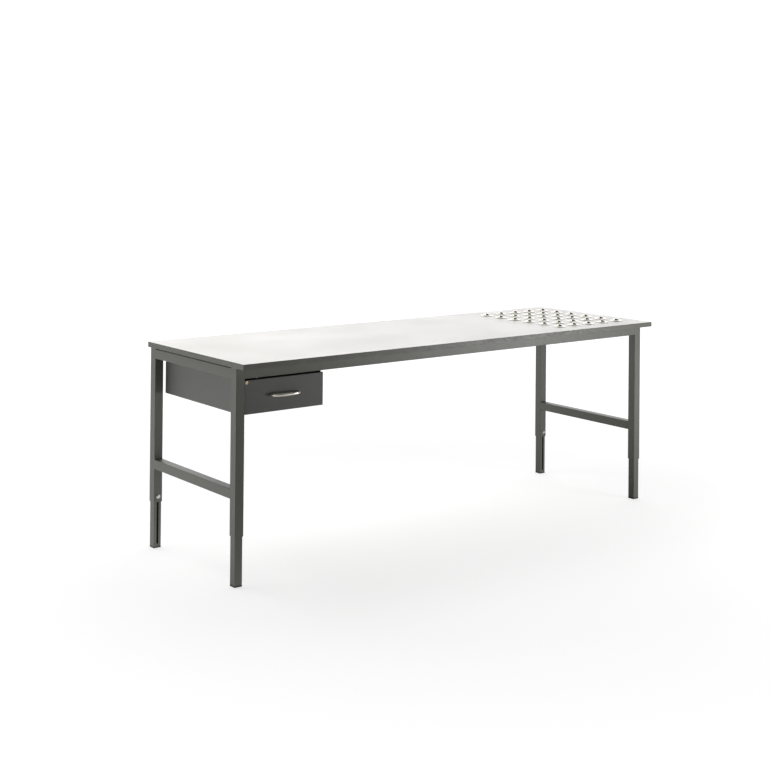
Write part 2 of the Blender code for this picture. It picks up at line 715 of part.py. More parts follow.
def channel(x_web, way, half_height):
    """Outline of a runner member: its web at one side, its flanges reaching the given way."""
    inner = x_web + way * RUNNER_SHEET
    tip = x_web + way * RUNNER_REACH
    low, high = RUNNER_Z - half_height, RUNNER_Z + half_height
    return [(x_web, low), (tip, low), (tip, low + RUNNER_SHEET), (inner, low + RUNNER_SHEET),
            (inner, high - RUNNER_SHEET), (tip, high - RUNNER_SHEET), (tip, high), (x_web, high)]


def make_runners(drawer):
    """Three nested channels on each side: on the housing, in between, and on the tray."""
    step = RUNNER_SHEET + GAP
    half = RUNNER_HEIGHT / 2
    middle_slide = axis_empty("runner_slide", (HANDLE_X, RUNNER_Y0, RUNNER_Z))
    for side, plate, way in (("left", HOUSING_X0 + HOUSING_SHEET + GAP, 1),
                             ("right", HOUSING_X1 - HOUSING_SHEET - GAP, -1)):
        members = {
            "fixed": (channel(plate, way, half), None),
            "middle": (channel(plate + way * step, way, half - step), middle_slide),
            "drawer": (channel(plate + way * RUNNER_THICK, -way, half - 2 * step), drawer),
        }
        for kind, (points, parent) in members.items():
            name = "runner_" + kind + "_" + side
            work = folded(name, points, RUNNER_Y0, RUNNER_Y0 + RUNNER_LENGTH)
            piece(name, work, "zinc", parent=parent)


def make_drawer(drawer):
    """The tray and the folded front of the drawer."""
    tray = piece("drawer_tray", open_box((TRAY_X0, TRAY_Y0, TRAY_Z0),
                                         (TRAY_X1, TRAY_Y1, TRAY_Z0 + TRAY_HEIGHT), (0, 0, 1)),
                 "drawer_paint", parent=drawer)
    wall(tray, TRAY_SHEET)
    front = piece("drawer_front", open_box((FRONT_X0, FRONT_Y0, FRONT_Z0),
                                           (FRONT_X1, FRONT_Y0 + FRONT_DEEP, FRONT_Z1), (0, 1, 0)),
                  "drawer_paint", parent=drawer)
    fold = front.modifiers.new("fold", "BEVEL")
    fold.width = FRONT_FOLD
    fold.segments = CORNER_STEPS
    fold.limit_method = "ANGLE"
    wall(front, FRONT_SHEET)
    behind = TRAY_Y0 + TRAY_SHEET + OVERRUN
    for target in (tray, front):
        cut(target, [rod((x, FRONT_Y0 - OVERRUN, HANDLE_Z), (x, behind, HANDLE_Z),
                         HANDLE_SCREW_RADIUS + SCREW_PLAY, SCREW_STEPS) for x in handle_screws()],
            "handle_holes")
    cut(front, [rod((LOCK_X, FRONT_Y0 - OVERRUN, LOCK_Z),
                    (LOCK_X, FRONT_Y0 + FRONT_SHEET + OVERRUN, LOCK_Z),
                    (LOCK_BODY_RADIUS + GAP) / FACET_SHARE)], "lock_hole")


def make_handle(drawer):
    """The bow handle with the two screws that come through the front from inside."""
    bow = bpy.data.curves.new("drawer_handle", "CURVE")
    bow.dimensions = "3D"
    bow.bevel_depth = HANDLE_RADIUS
    bow.bevel_resolution = 2
    bow.use_fill_caps = True
    seat = FRONT_Y0 - GAP
    half = HANDLE_SPACING / 2
    power = 2 / HANDLE_SQUARENESS
    path = [(HANDLE_X - half, seat)]
    for index in range(HANDLE_POINTS):
        angle = math.pi * index / (HANDLE_POINTS - 1)
        side = math.copysign(abs(math.cos(angle)) ** power, -math.cos(angle))
        out = abs(math.sin(angle)) ** power
        path.append((HANDLE_X + side * half, seat - HANDLE_POST - out * HANDLE_REACH))
    path.append((HANDLE_X + half, seat))
    run = bow.splines.new("POLY")
    run.points.add(len(path) - 1)
    for spot, (x, y) in zip(run.points, path):
        spot.co = (x, y, HANDLE_Z, 1)
    mesh = mesh_from(mesh_of_curve("drawer_handle", bow), "drawer_handle")
    mesh.shade_smooth()
    mesh.set_sharp_from_angle(angle=SHARP_ANGLE)
    handle = piece("drawer_handle", mesh, "satin_metal", parent=drawer)
    head = TRAY_Y0 + TRAY_SHEET + GAP
    add(handle, [rod((x, seat - BITE, HANDLE_Z), (x, head + HANDLE_SCREW_HEAD_THICK / 2, HANDLE_Z),
                     HANDLE_SCREW_RADIUS, SHANK_STEPS) for x in handle_screws()], "screw_shanks")
    add(handle, [rod((x, head, HANDLE_Z), (x, head + HANDLE_SCREW_HEAD_THICK, HANDLE_Z),
                     HANDLE_SCREW_HEAD, SCREW_STEPS) for x in handle_screws()], "screw_heads")


def make_lock(drawer):
    """The cylinder lock in the corner of the front, and its turning core with the cam."""
    bore = (LOCK_CORE_RADIUS + GAP) / FACET_SHARE
    rose = LOCK_ROSE_THICK + GAP
    back = LOCK_BODY_LENGTH
    profile = [(LOCK_ROSE_RADIUS, rose), (LOCK_ROSE_RADIUS, GAP), (LOCK_BODY_RADIUS, GAP),
               (LOCK_BODY_RADIUS, -back), (bore, -back), (bore, rose)]
    turn_axis = axis_empty("lock_turn", Vector((LOCK_X, FRONT_Y0, LOCK_Z)) - drawer.location)
    turn_axis.parent = drawer
    barrel = bpy.data.objects.new("lock_barrel", bpy.data.meshes.new("lock_barrel"))
    turned(barrel, profile, closed=True)
    barrel.data.materials.append(paint("lock_barrel", "brass"))
    barrel.rotation_euler = (math.pi / 2, 0, 0)
    barrel.parent = turn_axis
    BENCH.objects.link(barrel)
    tail = back + GAP + CAM_THICK + LOCK_CORE_TAIL
    work = rod((0, -rose, 0), (0, tail, 0), LOCK_CORE_RADIUS)
    core = bpy.data.objects.new("lock_core", mesh_from(work, "lock_core"))
    core.data.materials.append(paint("lock_core", "brass"))
    core.parent = turn_axis
    BENCH.objects.link(core)
    cam = cutter("lock_core_cam", block((-CAM_WIDTH / 2, back + GAP, -CAM_LENGTH),
                                        (CAM_WIDTH / 2, back + GAP + CAM_THICK, CAM_EYE)))
    keyway = cutter("lock_core_keyway", block((-KEYWAY_WIDTH / 2, -rose - OVERRUN, -KEYWAY_HEIGHT / 2),
                                              (KEYWAY_WIDTH / 2, KEYWAY_DEPTH, KEYWAY_HEIGHT / 2)))
    for tool, operation in ((cam, "UNION"), (keyway, "DIFFERENCE")):
        tool.parent = turn_axis
        combine(core, tool, operation)


def main():
    make_worktop()
    make_edge_band()
    make_side_frame("left", LEG_LEFT)
    make_side_frame("right", LEG_RIGHT)
    make_beam("front", LEG_FRONT, 1)
    make_beam("back", LEG_BACK, -1)
    for name, x, y, facing in corners():
        make_leg(name, x, y, facing)
        make_clamp(name, x, y, facing)
    make_balls()
    make_housing()
    drawer = axis_empty("drawer_slide", (HANDLE_X, FRONT_Y0, HANDLE_Z))
    make_drawer(drawer)
    make_runners(drawer)
    make_handle(drawer)
    make_lock(drawer)


main()
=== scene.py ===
"""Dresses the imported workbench: detailed pieces over the CAD frame, their finishes and a plain studio."""
import math

import bmesh
import bpy
from bpy.props import FloatProperty, FloatVectorProperty, IntProperty, PointerProperty
from bpy.types import Operator, Panel, PropertyGroup
from mathutils import Matrix, Vector


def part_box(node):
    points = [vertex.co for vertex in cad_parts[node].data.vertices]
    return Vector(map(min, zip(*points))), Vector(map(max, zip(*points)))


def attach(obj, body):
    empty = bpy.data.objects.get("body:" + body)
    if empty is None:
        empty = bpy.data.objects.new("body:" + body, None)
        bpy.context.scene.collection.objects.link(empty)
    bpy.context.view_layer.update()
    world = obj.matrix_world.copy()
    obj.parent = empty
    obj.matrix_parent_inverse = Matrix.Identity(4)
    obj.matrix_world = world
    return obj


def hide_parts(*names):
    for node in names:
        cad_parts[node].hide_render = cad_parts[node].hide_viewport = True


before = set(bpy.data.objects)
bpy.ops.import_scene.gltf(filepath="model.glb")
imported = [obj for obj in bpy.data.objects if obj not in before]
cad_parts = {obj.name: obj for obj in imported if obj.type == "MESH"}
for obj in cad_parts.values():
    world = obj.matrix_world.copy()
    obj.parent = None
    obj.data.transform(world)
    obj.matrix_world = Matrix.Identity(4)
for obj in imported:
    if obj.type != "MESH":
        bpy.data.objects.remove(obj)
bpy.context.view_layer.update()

bl_info = {
    "name": "Packing Workbench",
    "version": (1, 0, 0),
    "blender": (4, 5, 0),
    "location": "3D View > Sidebar > Workbench",
    "description": "Models a height adjustable packing workbench with a drawer and ball units",
    "category": "Object",
}

CORNERS = ("front_left", "front_right", "back_left", "back_right")
SIDES = ("left", "right")
COLUMNS, ROWS = 5, 6

# Places read from the CAD frame
TOP_LOW, TOP_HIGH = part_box("edge_band")
HOUSE_GAP = 0.0008                  # between the drawer front and the housing
SURFACE = TOP_HIGH.z
FRAME_LOW, FRAME_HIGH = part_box("side_frame_left")
TUBE = FRAME_HIGH.x - FRAME_LOW.x
BEAM_LOW, BEAM_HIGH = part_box("beam_front")
RAIL_BOTTOM = BEAM_LOW.z
FRAME_TOP = FRAME_HIGH.z
FRONT_LOW, FRONT_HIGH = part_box("drawer_front")
HOUSE_LOW, HOUSE_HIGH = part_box("drawer_housing")
TRAY_LOW, TRAY_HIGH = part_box("drawer_tray")
HOUSE_START = FRONT_HIGH.y + HOUSE_GAP

# Fixed small sizes
FACING = 0.9                # two directions closer than this count as one
TINY = 0.00001
NEAR = 0.0002
PAST = 0.002                # how far a cutter runs past a face
WELD_BITE = 0.0012
SMOOTH_ANGLE = math.radians(35)
GLUE_LINE = 0.0001
CROSSBAR_BOTTOM = 0.340
LUG_PLACES = (-0.663, -0.0987, 0.4657, 1.03)
LUG_SIZE = (0.040, 0.025, 0.003)
SKIRT_FLANGE = 0.012                # inward fold at the foot of the housing's sides
TOP_FLANGE = 0.020                  # inward fold at their top
FOLD_RADIUS = 0.002                 # bends of the housing's sheets
HANGER_DROP = 0.0013                # centre of the hanger strip under the beam
HANGER_DEPTH = 0.030
HANGER_SHEET = 0.002
CAM_SLOT_ENDS = (0.0058, 0.0012)    # before the tip of the lock's cam
CAM_SLOT_ROOM = (0.010, 0.0075)     # under and over its centre
COLLAR_FILLET = 0.0022
SEAL_DEPTHS = (0.0026, 0.0024, 0.0018, 0.0020)  # under the collar's lip
HANDLE_START = 0.003                # straight start of the bow at each end
BOW_SQUARENESS = 2.6                # exponent of the bow, where 2 is an ellipse
BOW_STEPS = 48
BACKDROP_WAY = (0.59, 0.79, 0.16)   # towards the bright side of the studio
BACKDROP_TURN = (0.3, 0.95)
BACKDROP_GLOW = (0.11, 2.1)
STUDIO_EDGE = (1.5, 5.0)            # where the floor starts to glow, and where it glows in full
FLOOR_GLOW = (0.69, 0.95)
FLOOR_WAY = (-0.5, 0.86, 0.0)       # towards the side of the floor that lights the bench most
FLOOR_TURN = (-0.6, 0.9)
FLOOR_LIGHT = (0.10, 1.15)


# Modelling by hand, in code

def put_down():
    """Leaves edit mode and deselects all, so that the next operator acts on its own piece alone."""
    if bpy.context.mode != "OBJECT":
        bpy.ops.object.mode_set(mode="OBJECT")
    bpy.ops.object.select_all(action="DESELECT")


def take(*pieces):
    """Selects pieces in object mode, the first of them active."""
    put_down()
    for piece in pieces:
        piece.select_set(True)
    bpy.context.view_layer.objects.active = pieces[0]


def edit(piece):
    """Opens a piece in edit mode with nothing selected."""
    take(piece)
    bpy.ops.object.mode_set(mode="EDIT")
    bpy.ops.mesh.select_all(action="DESELECT")


def named(name):
    """Names the primitive that was just added and applies its place."""
    piece = bpy.context.object
    piece.name = piece.data.name = name
    bpy.ops.object.transform_apply(location=True, rotation=True, scale=True)
    return piece


def block(name, low, high):
    """A box between two corners."""
    put_down()
    low, high = Vector(low), Vector(high)
    bpy.ops.mesh.primitive_cube_add(size=1, location=(low + high) / 2, scale=high - low)
    return named(name)


def rod(name, start, end, radius, steps=24):
    """A round bar between two points."""
    put_down()
    start, end = Vector(start), Vector(end)
    way = end - start
    bpy.ops.mesh.primitive_cylinder_add(vertices=steps, radius=radius, depth=way.length,
                                        location=(start + end) / 2,
                                        rotation=way.to_track_quat("Z", "Y").to_euler())
    return named(name)


def pick(piece, test, kind="FACE"):
    """Selects, in edit mode, the faces or edges whose middle and direction pass a test."""
    bpy.ops.mesh.select_mode(type=kind)
    bpy.ops.mesh.select_all(action="DESELECT")
    work = bmesh.from_edit_mesh(piece.data)
    if kind == "FACE":
        for face in work.faces:
            if test(face.calc_center_median(), face.normal):
                face.select_set(True)
    else:
        for edge in work.edges:
            start, end = (corner.co for corner in edge.verts)
            if test((start + end) / 2, (end - start).normalized()):
                edge.select_set(True)
    work.select_flush_mode()
    bmesh.update_edit_mesh(piece.data)


def soften(piece, test, width, segments=3):
    """Bevels the edges that pass a test."""
    edit(piece)
    pick(piece, test, "EDGE")
    bpy.ops.mesh.bevel(offset=width, segments=segments, affect="EDGES")


def open_up(piece, test):
    """Deletes the faces that pass a test."""
    edit(piece)
    pick(piece, test)
    bpy.ops.mesh.delete(type="FACE")


def shape(piece, kind, **settings):
    """Adds a modifier and applies it."""
    take(piece)
    step = piece.modifiers.new(kind.lower(), kind)
    for key, value in settings.items():
        setattr(step, key, value)
    bpy.ops.object.modifier_apply(modifier=step.name)


def chain(name, points):
    """A run of edges through points, drawn by extruding one point after the other."""
    put_down()
    bpy.ops.mesh.primitive_plane_add(size=1, location=points[0])
    piece = named(name)
    edit(piece)
    bpy.ops.mesh.select_mode(type="VERT")
    bpy.ops.mesh.select_all(action="SELECT")
    bpy.ops.mesh.merge(type="CENTER")
    for start, end in zip(points, points[1:]):
        bpy.ops.mesh.extrude_vertices_move(
            TRANSFORM_OT_translate={"value": Vector(end) - Vector(start)})
    return piece


def lathe(name, centre, profile, steps=48, axis=(0, 0, 1)):
    """Spins a profile of (radius, height) points round an axis through the centre."""
    centre, axis = Vector(centre), Vector(axis)
    side = axis.orthogonal().normalized()
    piece = chain(name, [centre + side * radius + axis * height for radius, height in profile])
    bpy.ops.mesh.select_all(action="SELECT")
    bpy.ops.mesh.spin(steps=steps, angle=math.tau, center=centre, axis=axis)
    bpy.ops.mesh.select_all(action="SELECT")
    bpy.ops.mesh.remove_doubles(threshold=TINY)
    bpy.ops.mesh.normals_make_consistent(inside=False)
    return piece


def arc(centre, radius, start, end, count=4):
    """Points on an arc in a profile, from one angle in degrees to another."""
    points = []
    for index in range(count + 1):
        angle = math.radians(start + (end - start) * index / count)
        points.append((centre[0] + radius * math.cos(angle), centre[1] + radius * math.sin(angle)))
    return points


def folded(name, points, run, thick, bend):
    """A folded sheet: the middle line of its profile, drawn out along a run, bent and thickened."""
    run = Vector(run)
    piece = chain(name, points)
    bpy.ops.mesh.select_all(action="SELECT")
    bpy.ops.mesh.extrude_region_move(TRANSFORM_OT_translate={"value": run})
    ends = (Vector(points[0]), Vector(points[-1]))
    way = run.normalized()

    def is_fold(place, along):
        if abs(along.dot(way)) < FACING:
            return False
        return all((place - end).cross(way).length > NEAR for end in ends)

    if len(points) > 2:
        soften(piece, is_fold, bend)
    shape(piece, "SOLIDIFY", thickness=thick, offset=0, use_even_offset=True)
    return piece


def tube(name, low, high, axis, sizes):
    """A square tube, hollow along an axis, with rounded long edges."""
    piece = block(name, low, high)
    soften(piece, lambda place, way: abs(way[axis]) > FACING, sizes.tube_corner, 4)
    open_up(piece, lambda place, way: abs(way[axis]) > FACING)
    shape(piece, "SOLIDIFY", thickness=sizes.tube_wall, offset=-1, use_even_offset=True)
    return piece


def cut(piece, *tools):
    """Cuts tools out of a piece and removes them."""
    tool = joined(tools[0].name, *tools)
    shape(piece, "BOOLEAN", operation="DIFFERENCE", object=tool, solver="EXACT")
    bpy.data.objects.remove(tool, do_unlink=True)


def joined(name, *pieces):
    """Several meshes as one piece."""
    take(*pieces)
    if len(pieces) > 1:
        bpy.ops.object.join()
    pieces[0].name = pieces[0].data.name = name
    return pieces[0]


def copied(piece, name, move):
    """A copy with its own mesh, moved in its mesh."""
    twin = piece.copy()
    twin.data = piece.data.copy()
    twin.name = twin.data.name = name
    bpy.context.scene.collection.objects.link(twin)
    twin.data.transform(Matrix.Translation(Vector(move)))
    return twin


def paint_faces(piece, index, test):
    """Gives the faces that pass a test another of the piece's materials."""
    for face in piece.data.polygons:
        if test(face.center, face.normal):
            face.material_index = index


def smoothed(piece):
    """Shades a piece smooth up to its real edges, with its flat faces left flat."""
    take(piece)
    bpy.ops.object.shade_smooth_by_angle(angle=SMOOTH_ANGLE)
    shape(piece, "WEIGHTED_NORMAL", mode="FACE_AREA", keep_sharp=True)


def keep(piece, body, slot, finishes, *nodes):
    """Lets a finished piece ride on its body, with its finishes, in place of CAD nodes."""
    put_down()
    piece.data.materials.clear()
    for finish in finishes:
        piece.data.materials.append(finish)
    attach(piece, body)
    if nodes:
        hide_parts(*nodes)


# Finishes

class Finish:
    """A node material on Object coordinates, built up detail by detail."""

    def __init__(self, name, colour, roughness, metallic=0.0, **sockets):
        self.material = bpy.data.materials.new(name)
        self.material.use_nodes = True
        self.tree = self.material.node_tree
        self.shader = self.tree.nodes["Principled BSDF"]
        self.shader.inputs["Base Color"].default_value = (*colour, 1.0)
        self.shader.inputs["Roughness"].default_value = roughness
        self.shader.inputs["Metallic"].default_value = metallic
        for key, value in sockets.items():
            self.shader.inputs[key.replace("_", " ")].default_value = value
        self.colour, self.roughness = colour, roughness
        self.place = self.tree.nodes.new("ShaderNodeTexCoord").outputs["Object"]
        self.relief = None

    def add(self, kind, inputs=(), **settings):
        """A node with its settings and inputs."""
        node = self.tree.nodes.new(kind)
        for key, value in settings.items():
            setattr(node, key, value)
        for key, value in inputs:
            if isinstance(value, bpy.types.NodeSocket):
                self.tree.links.new(value, node.inputs[key])
            else:
                node.inputs[key].default_value = value
        return node

    def stretched(self, stretch):
        """Object coordinates scaled along each axis."""
        return self.add("ShaderNodeMapping", [("Vector", self.place), ("Scale", stretch)]).outputs[0]

    def noise(self, scale, detail=3.0, rough=0.5, stretch=(1, 1, 1)):
        """A cloud pattern from 0 to 1."""
        return self.add("ShaderNodeTexNoise", [("Vector", self.stretched(stretch)), ("Scale", scale),
                                               ("Detail", detail), ("Roughness", rough)]).outputs[0]

    def cells(self, scale, feature="F1", stretch=(1, 1, 1)):
        """A pattern of grains, by the distance to the nearest."""
        return self.add("ShaderNodeTexVoronoi", [("Vector", self.stretched(stretch)),
                                                 ("Scale", scale)], feature=feature).outputs[0]

    def between(self, pattern, low, high, start=0.0, end=1.0):
        """Maps part of a pattern's span to a span of values."""
        return self.add("ShaderNodeMapRange", [("Value", pattern), ("From Min", low), ("From Max", high),
                                               ("To Min", start), ("To Max", end)]).outputs[0]

    def tint(self, pattern, other, base=None):
        """Mixes another colour into the base by a pattern."""
        mixed = self.add("ShaderNodeMix", [("Factor", pattern), ("A", (*(self.colour), 1.0)),
                                           ("B", (*other, 1.0))], data_type="RGBA")
        if base is not None:
            self.tree.links.new(base, mixed.inputs[6])
        out = mixed.outputs[2]
        self.tree.links.new(out, self.shader.inputs["Base Color"])
        return out

    def gloss(self, pattern, low, high, least, most):
        """Lets the roughness follow a pattern."""
        self.tree.links.new(self.between(pattern, low, high, least, most),
                            self.shader.inputs["Roughness"])

    def bump(self, pattern, height, strength=1.0):
        """Adds fine relief."""
        inputs = [("Height", pattern), ("Distance", height), ("Strength", strength)]
        if self.relief is not None:
            inputs.append(("Normal", self.relief))
        self.relief = self.add("ShaderNodeBump", inputs).outputs[0]
        self.tree.links.new(self.relief, self.shader.inputs["Normal"])


def shade(colour, share):
    """A colour made darker or lighter."""
    return tuple(min(1.0, value * share) for value in colour)


def laminate(colours):
    """Off-white high pressure laminate with a fine pearl grain and faint scuffs."""
    skin = Finish("laminate_skin", colours.laminate, 0.42)
    grain = skin.noise(900, 2.0, 0.6)
    cloud = skin.noise(3.5, 4.0, 0.55)
    base = skin.tint(skin.between(grain, 0.35, 0.7, 0.0, 0.5), shade(colours.laminate, 0.955))
    scuff = skin.noise(26, 5.0, 0.7, (1.0, 6.0, 1.0))
    skin.tint(skin.between(scuff, 0.66, 0.80, 0.0, 0.35), shade(colours.laminate, 0.90), base)
    skin.gloss(cloud, 0.3, 0.7, 0.36, 0.48)
    skin.bump(skin.noise(650, 2.0, 0.5), 0.00004, 0.5)
    return skin.material


def backing(colours):
    """The paper balance sheet under the board."""
    sheet = Finish("board_backing", colours.backing, 0.7)
    sheet.tint(sheet.between(sheet.noise(180, 5.0, 0.6, (1, 5, 1)), 0.35, 0.75),
               shade(colours.backing, 0.86))
    sheet.bump(sheet.noise(420, 3.0), 0.00008, 0.5)
    return sheet.material


def edge_plastic(colours):
    """The dark grey plastic edge strip, with a fine pearled grain and faint cloudy marks."""
    strip = Finish("edge_plastic", colours.edging, 0.46)
    strip.tint(strip.between(strip.noise(14, 4.0, 0.6), 0.3, 0.75), shade(colours.edging, 1.12))
    strip.gloss(strip.noise(90, 3.0), 0.3, 0.7, 0.40, 0.54)
    strip.bump(strip.cells(1100), 0.00005, 0.6)
    return strip.material


def powder_coat(name, colour, grain, peel):
    """Powder coat on steel: orange peel, fine grain and slightly worn gloss."""
    coat = Finish(name, colour, 0.44)
    base = coat.tint(coat.between(coat.noise(5.0, 4.0, 0.6), 0.3, 0.75, 0.0, 0.7), shade(colour, 1.13))
    coat.tint(coat.between(coat.noise(grain, 2.0, 0.7), 0.5, 0.8, 0.0, 0.55), shade(colour, 0.80), base)
    coat.gloss(coat.noise(38, 4.0, 0.6), 0.3, 0.7, 0.455, 0.485)
    coat.bump(coat.noise(peel, 2.0, 0.5), 0.00018, 0.35)
    coat.bump(coat.noise(grain, 1.0, 0.5), 0.00006, 0.5)
    return coat.material


def zinc(name, colour, rough, drawn=(1, 1, 1)):
    """Bright zinc plating with soft spangle and drawing marks."""
    plate = Finish(name, colour, rough, 1.0)
    plate.tint(plate.between(plate.cells(160), 0.0, 0.8, 0.0, 0.8), shade(colour, 0.82))
    plate.gloss(plate.noise(70, 4.0, 0.65, drawn), 0.3, 0.7, rough * 0.75, rough * 1.35)
    plate.bump(plate.noise(500, 3.0, 0.6, drawn), 0.00003, 0.6)
    return plate.material


def ball_steel(colours):
    """Ground and polished bearing steel with light rolling marks."""
    steel = Finish("ball_steel", colours.ball, 0.12, 1.0)
    steel.tint(steel.between(steel.noise(140, 4.0, 0.6), 0.4, 0.8, 0.0, 0.6), shade(colours.ball, 0.78))
    steel.gloss(steel.noise(260, 5.0, 0.7), 0.35, 0.7, 0.07, 0.20)
    return steel.material


def satin_nickel(colours):
    """Satin nickel, brushed along the bar."""
    bar = Finish("satin_nickel", colours.handle, 0.36, 1.0)
    bar.tint(bar.between(bar.noise(60, 3.0), 0.3, 0.8, 0.0, 0.5), shade(colours.handle, 0.86))
    bar.gloss(bar.noise(220, 4.0, 0.6, (0.08, 1, 1)), 0.3, 0.7, 0.29, 0.44)
    bar.bump(bar.noise(900, 2.0, 0.5, (0.04, 1, 1)), 0.00003, 0.5)
    return bar.material


def lock_metal(colours):
    """Pale brass of the lock, a little tarnished."""
    metal = Finish("lock_metal", colours.lock, 0.3, 1.0)
    metal.tint(metal.between(metal.noise(420, 3.0, 0.6), 0.35, 0.75, 0.0, 0.7), shade(colours.lock, 0.72))
    metal.gloss(metal.noise(700, 3.0), 0.3, 0.7, 0.22, 0.40)
    return metal.material


def black_plastic(name, colour, rough):
    """Moulded black plastic with an eroded grain."""
    mould = Finish(name, colour, rough)
    mould.tint(mould.between(mould.noise(300, 3.0, 0.6), 0.4, 0.8, 0.0, 0.6), shade(colour, 1.9))
    mould.gloss(mould.noise(120, 3.0), 0.3, 0.7, rough * 0.85, rough * 1.2)
    mould.bump(mould.noise(1300, 2.0), 0.00008, 0.5)
    return mould.material


FINISHES = {}


def finish(key):
    """The bench's finishes, each made once."""
    if not FINISHES:
        colours = bpy.context.scene.bench_colours
        FINISHES.update({
            "laminate": laminate(colours),
            "backing": backing(colours),
            "edging": edge_plastic(colours),
            "frame": powder_coat("frame_powder_coat", colours.frame_paint, 1400, 260),
            "drawer": powder_coat("drawer_powder_coat", colours.drawer_paint, 1700, 320),
            "zinc": zinc("zinc_plate", colours.zinc, 0.28),
            "runner_zinc": zinc("runner_zinc_plate", shade(colours.zinc, 0.9), 0.34, (1, 0.04, 1)),
            "cup": zinc("cup_plate", colours.cup, 0.24),
            "ball": ball_steel(colours),
            "handle": satin_nickel(colours),
            "lock": lock_metal(colours),
            "foot": black_plastic("foot_plastic", colours.plastic, 0.5),
            # Dark seal plastic: the real seals of the ball units, and also painted shade inside the ball cups
            # and in the lock's keyway.
            "seal": black_plastic("ball_seal", shade(colours.plastic, 0.6), 0.8),
        })
    return FINISHES[key]


# The pieces

def screw(name, place, up, sizes, radius=None):
    """A pan head screw with a cross recess, its head hanging from its seat."""
    radius = radius or sizes.screw_head
    rise = radius * 0.52
    profile = [(0, 0), (radius * 0.94, 0), (radius, -rise * 0.25), (radius * 0.93, -rise * 0.62),
               (radius * 0.70, -rise * 0.90), (radius * 0.35, -rise), (0, -rise)]
    head = lathe(name, place, profile, 24, up)
    deep, arm, wide = rise * 0.6, radius * 0.55, radius * 0.16
    seat = Vector(place) - Vector(up) * rise
    side = Vector(up).orthogonal().normalized()
    other = side.cross(Vector(up)).normalized()
    tools = []
    for first, second in ((side, other), (other, side)):
        reach = [abs(a) * arm + abs(b) * wide + abs(c) * deep for a, b, c in zip(first, second, up)]
        tools.append(block("recess", seat - Vector(reach), seat + Vector(reach)))
    for tool in tools:
        cut(head, tool)
    smoothed(head)
    return head


def ball_places():
    """Each ball's column, row and centre, read from its CAD node."""
    for column in range(1, COLUMNS + 1):
        for row in range(1, ROWS + 1):
            low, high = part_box("ball_{}_{}".format(column, row))
            yield column, row, (low + high) / 2


def make_board(sizes):
    """The faced board, bored for the ball units."""
    inset = Vector((sizes.band_width + GLUE_LINE, sizes.band_width + GLUE_LINE, 0))
    board = block("top_board", TOP_LOW + inset, TOP_HIGH - inset)
    tools = [rod("bore", (x, y, SURFACE - sizes.cup_depth - NEAR), (x, y, SURFACE + PAST),
                 sizes.cup_body + NEAR, 32) for _, _, (x, y, _) in ball_places()]
    cut(board, *tools)
    paint_faces(board, 1, lambda place, way: way.z < FACING or place.z < SURFACE - NEAR)
    keep(board, "root", "board", [finish("laminate"), finish("backing")], "worktop")


def make_edge_strip(sizes):
    """The strip round the board, with rounded outside edges."""
    strip = block("edge_strip", TOP_LOW, TOP_HIGH)
    edit(strip)
    pick(strip, lambda place, way: abs(way.z) > FACING)
    bpy.ops.mesh.inset(thickness=sizes.band_width)
    bpy.ops.mesh.bridge_edge_loops()
    soften(strip, lambda place, way: abs(place.x) > TOP_HIGH.x - NEAR or abs(place.y) > TOP_HIGH.y - NEAR,
           sizes.band_round)
    smoothed(strip)
    keep(strip, "root", "band", [finish("edging")], "edge_band")


def make_ball_units(sizes):
    """The pressed cups with their flanges, seals and steel balls."""
    places = list(ball_places())
    column, row, first = places[0]
    low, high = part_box("ball_1_1")
    radius = (high.z - low.z) / 2
    centre = Vector((first.x, first.y, SURFACE))
    sunk = first.z - SURFACE
    rise, lip = sizes.collar_rise, sizes.collar_lip
    mouth = math.sqrt(radius ** 2 - (rise - sunk) ** 2) + sizes.ball_play
    edge = sizes.flange_thick / 2
    profile = arc((0, sunk), radius + sizes.ball_play, -90, 10, 8)
    profile += [(mouth, rise - lip * 2)]
    profile += arc((mouth + lip, rise - lip), lip, 180, 55, 5)
    profile += arc((sizes.collar_foot + COLLAR_FILLET, sizes.flange_thick + COLLAR_FILLET),
                   COLLAR_FILLET, 215, 270, 4)
    profile += arc((sizes.flange_radius - edge, edge), edge, 90, -90, 6)
    profile += [(sizes.cup_body, 0), (sizes.cup_body, -sizes.cup_depth), (0, -sizes.cup_depth)]
    cup = lathe("ball_cup", centre, profile)
    smoothed(cup)
    inside = mouth + NEAR
    # Painted shade: the cup's inside under the ball takes the dark seal plastic, standing in for the shade
    # round and under the ball.
    paint_faces(cup, 1, lambda place, way: (place.xy - centre.xy).length < inside
                and place.z < SURFACE + rise - lip * 2)
    seal_r = mouth - sizes.ball_play * 0.35
    seal = lathe("ball_seal", centre, [(seal_r, rise - SEAL_DEPTHS[0]), (mouth + NEAR, rise - SEAL_DEPTHS[1]),
                                       (mouth + NEAR, rise - SEAL_DEPTHS[2]),
                                       (seal_r, rise - SEAL_DEPTHS[3]),
                                       (seal_r, rise - SEAL_DEPTHS[0])], 32)
    smoothed(seal)
    put_down()
    bpy.ops.mesh.primitive_cube_add(size=radius, location=first)
    ball = named("steel_ball")
    edit(ball)
    bpy.ops.mesh.select_all(action="SELECT")
    bpy.ops.mesh.subdivide(number_cuts=11)
    bpy.ops.transform.tosphere(value=1.0)
    put_down()
    reach = sum((corner.co - first).length for corner in ball.data.vertices) / len(ball.data.vertices)
    edit(ball)
    bpy.ops.mesh.select_all(action="SELECT")
    bpy.ops.transform.resize(value=(radius / reach,) * 3, center_override=first)
    put_down()
    take(ball)
    bpy.ops.object.shade_smooth()
    for column, row, place in places:
        tag = "_{}_{}".format(column, row)
        move = place - first
        for model, name, body, slot, finishes, nodes in (
                (cup, "ball_cup", "root", "zinc", ["cup", "seal"], ()),
                (seal, "ball_seal", "root", "zinc", ["seal"], ()),
                (ball, "steel_ball", "ball" + tag, "ball", ["ball"], ("ball" + tag,))):
            keep(copied(model, name + tag, move), body, slot, [finish(key) for key in finishes], *nodes)
    for model in (cup, seal, ball):
        bpy.data.objects.remove(model, do_unlink=True)


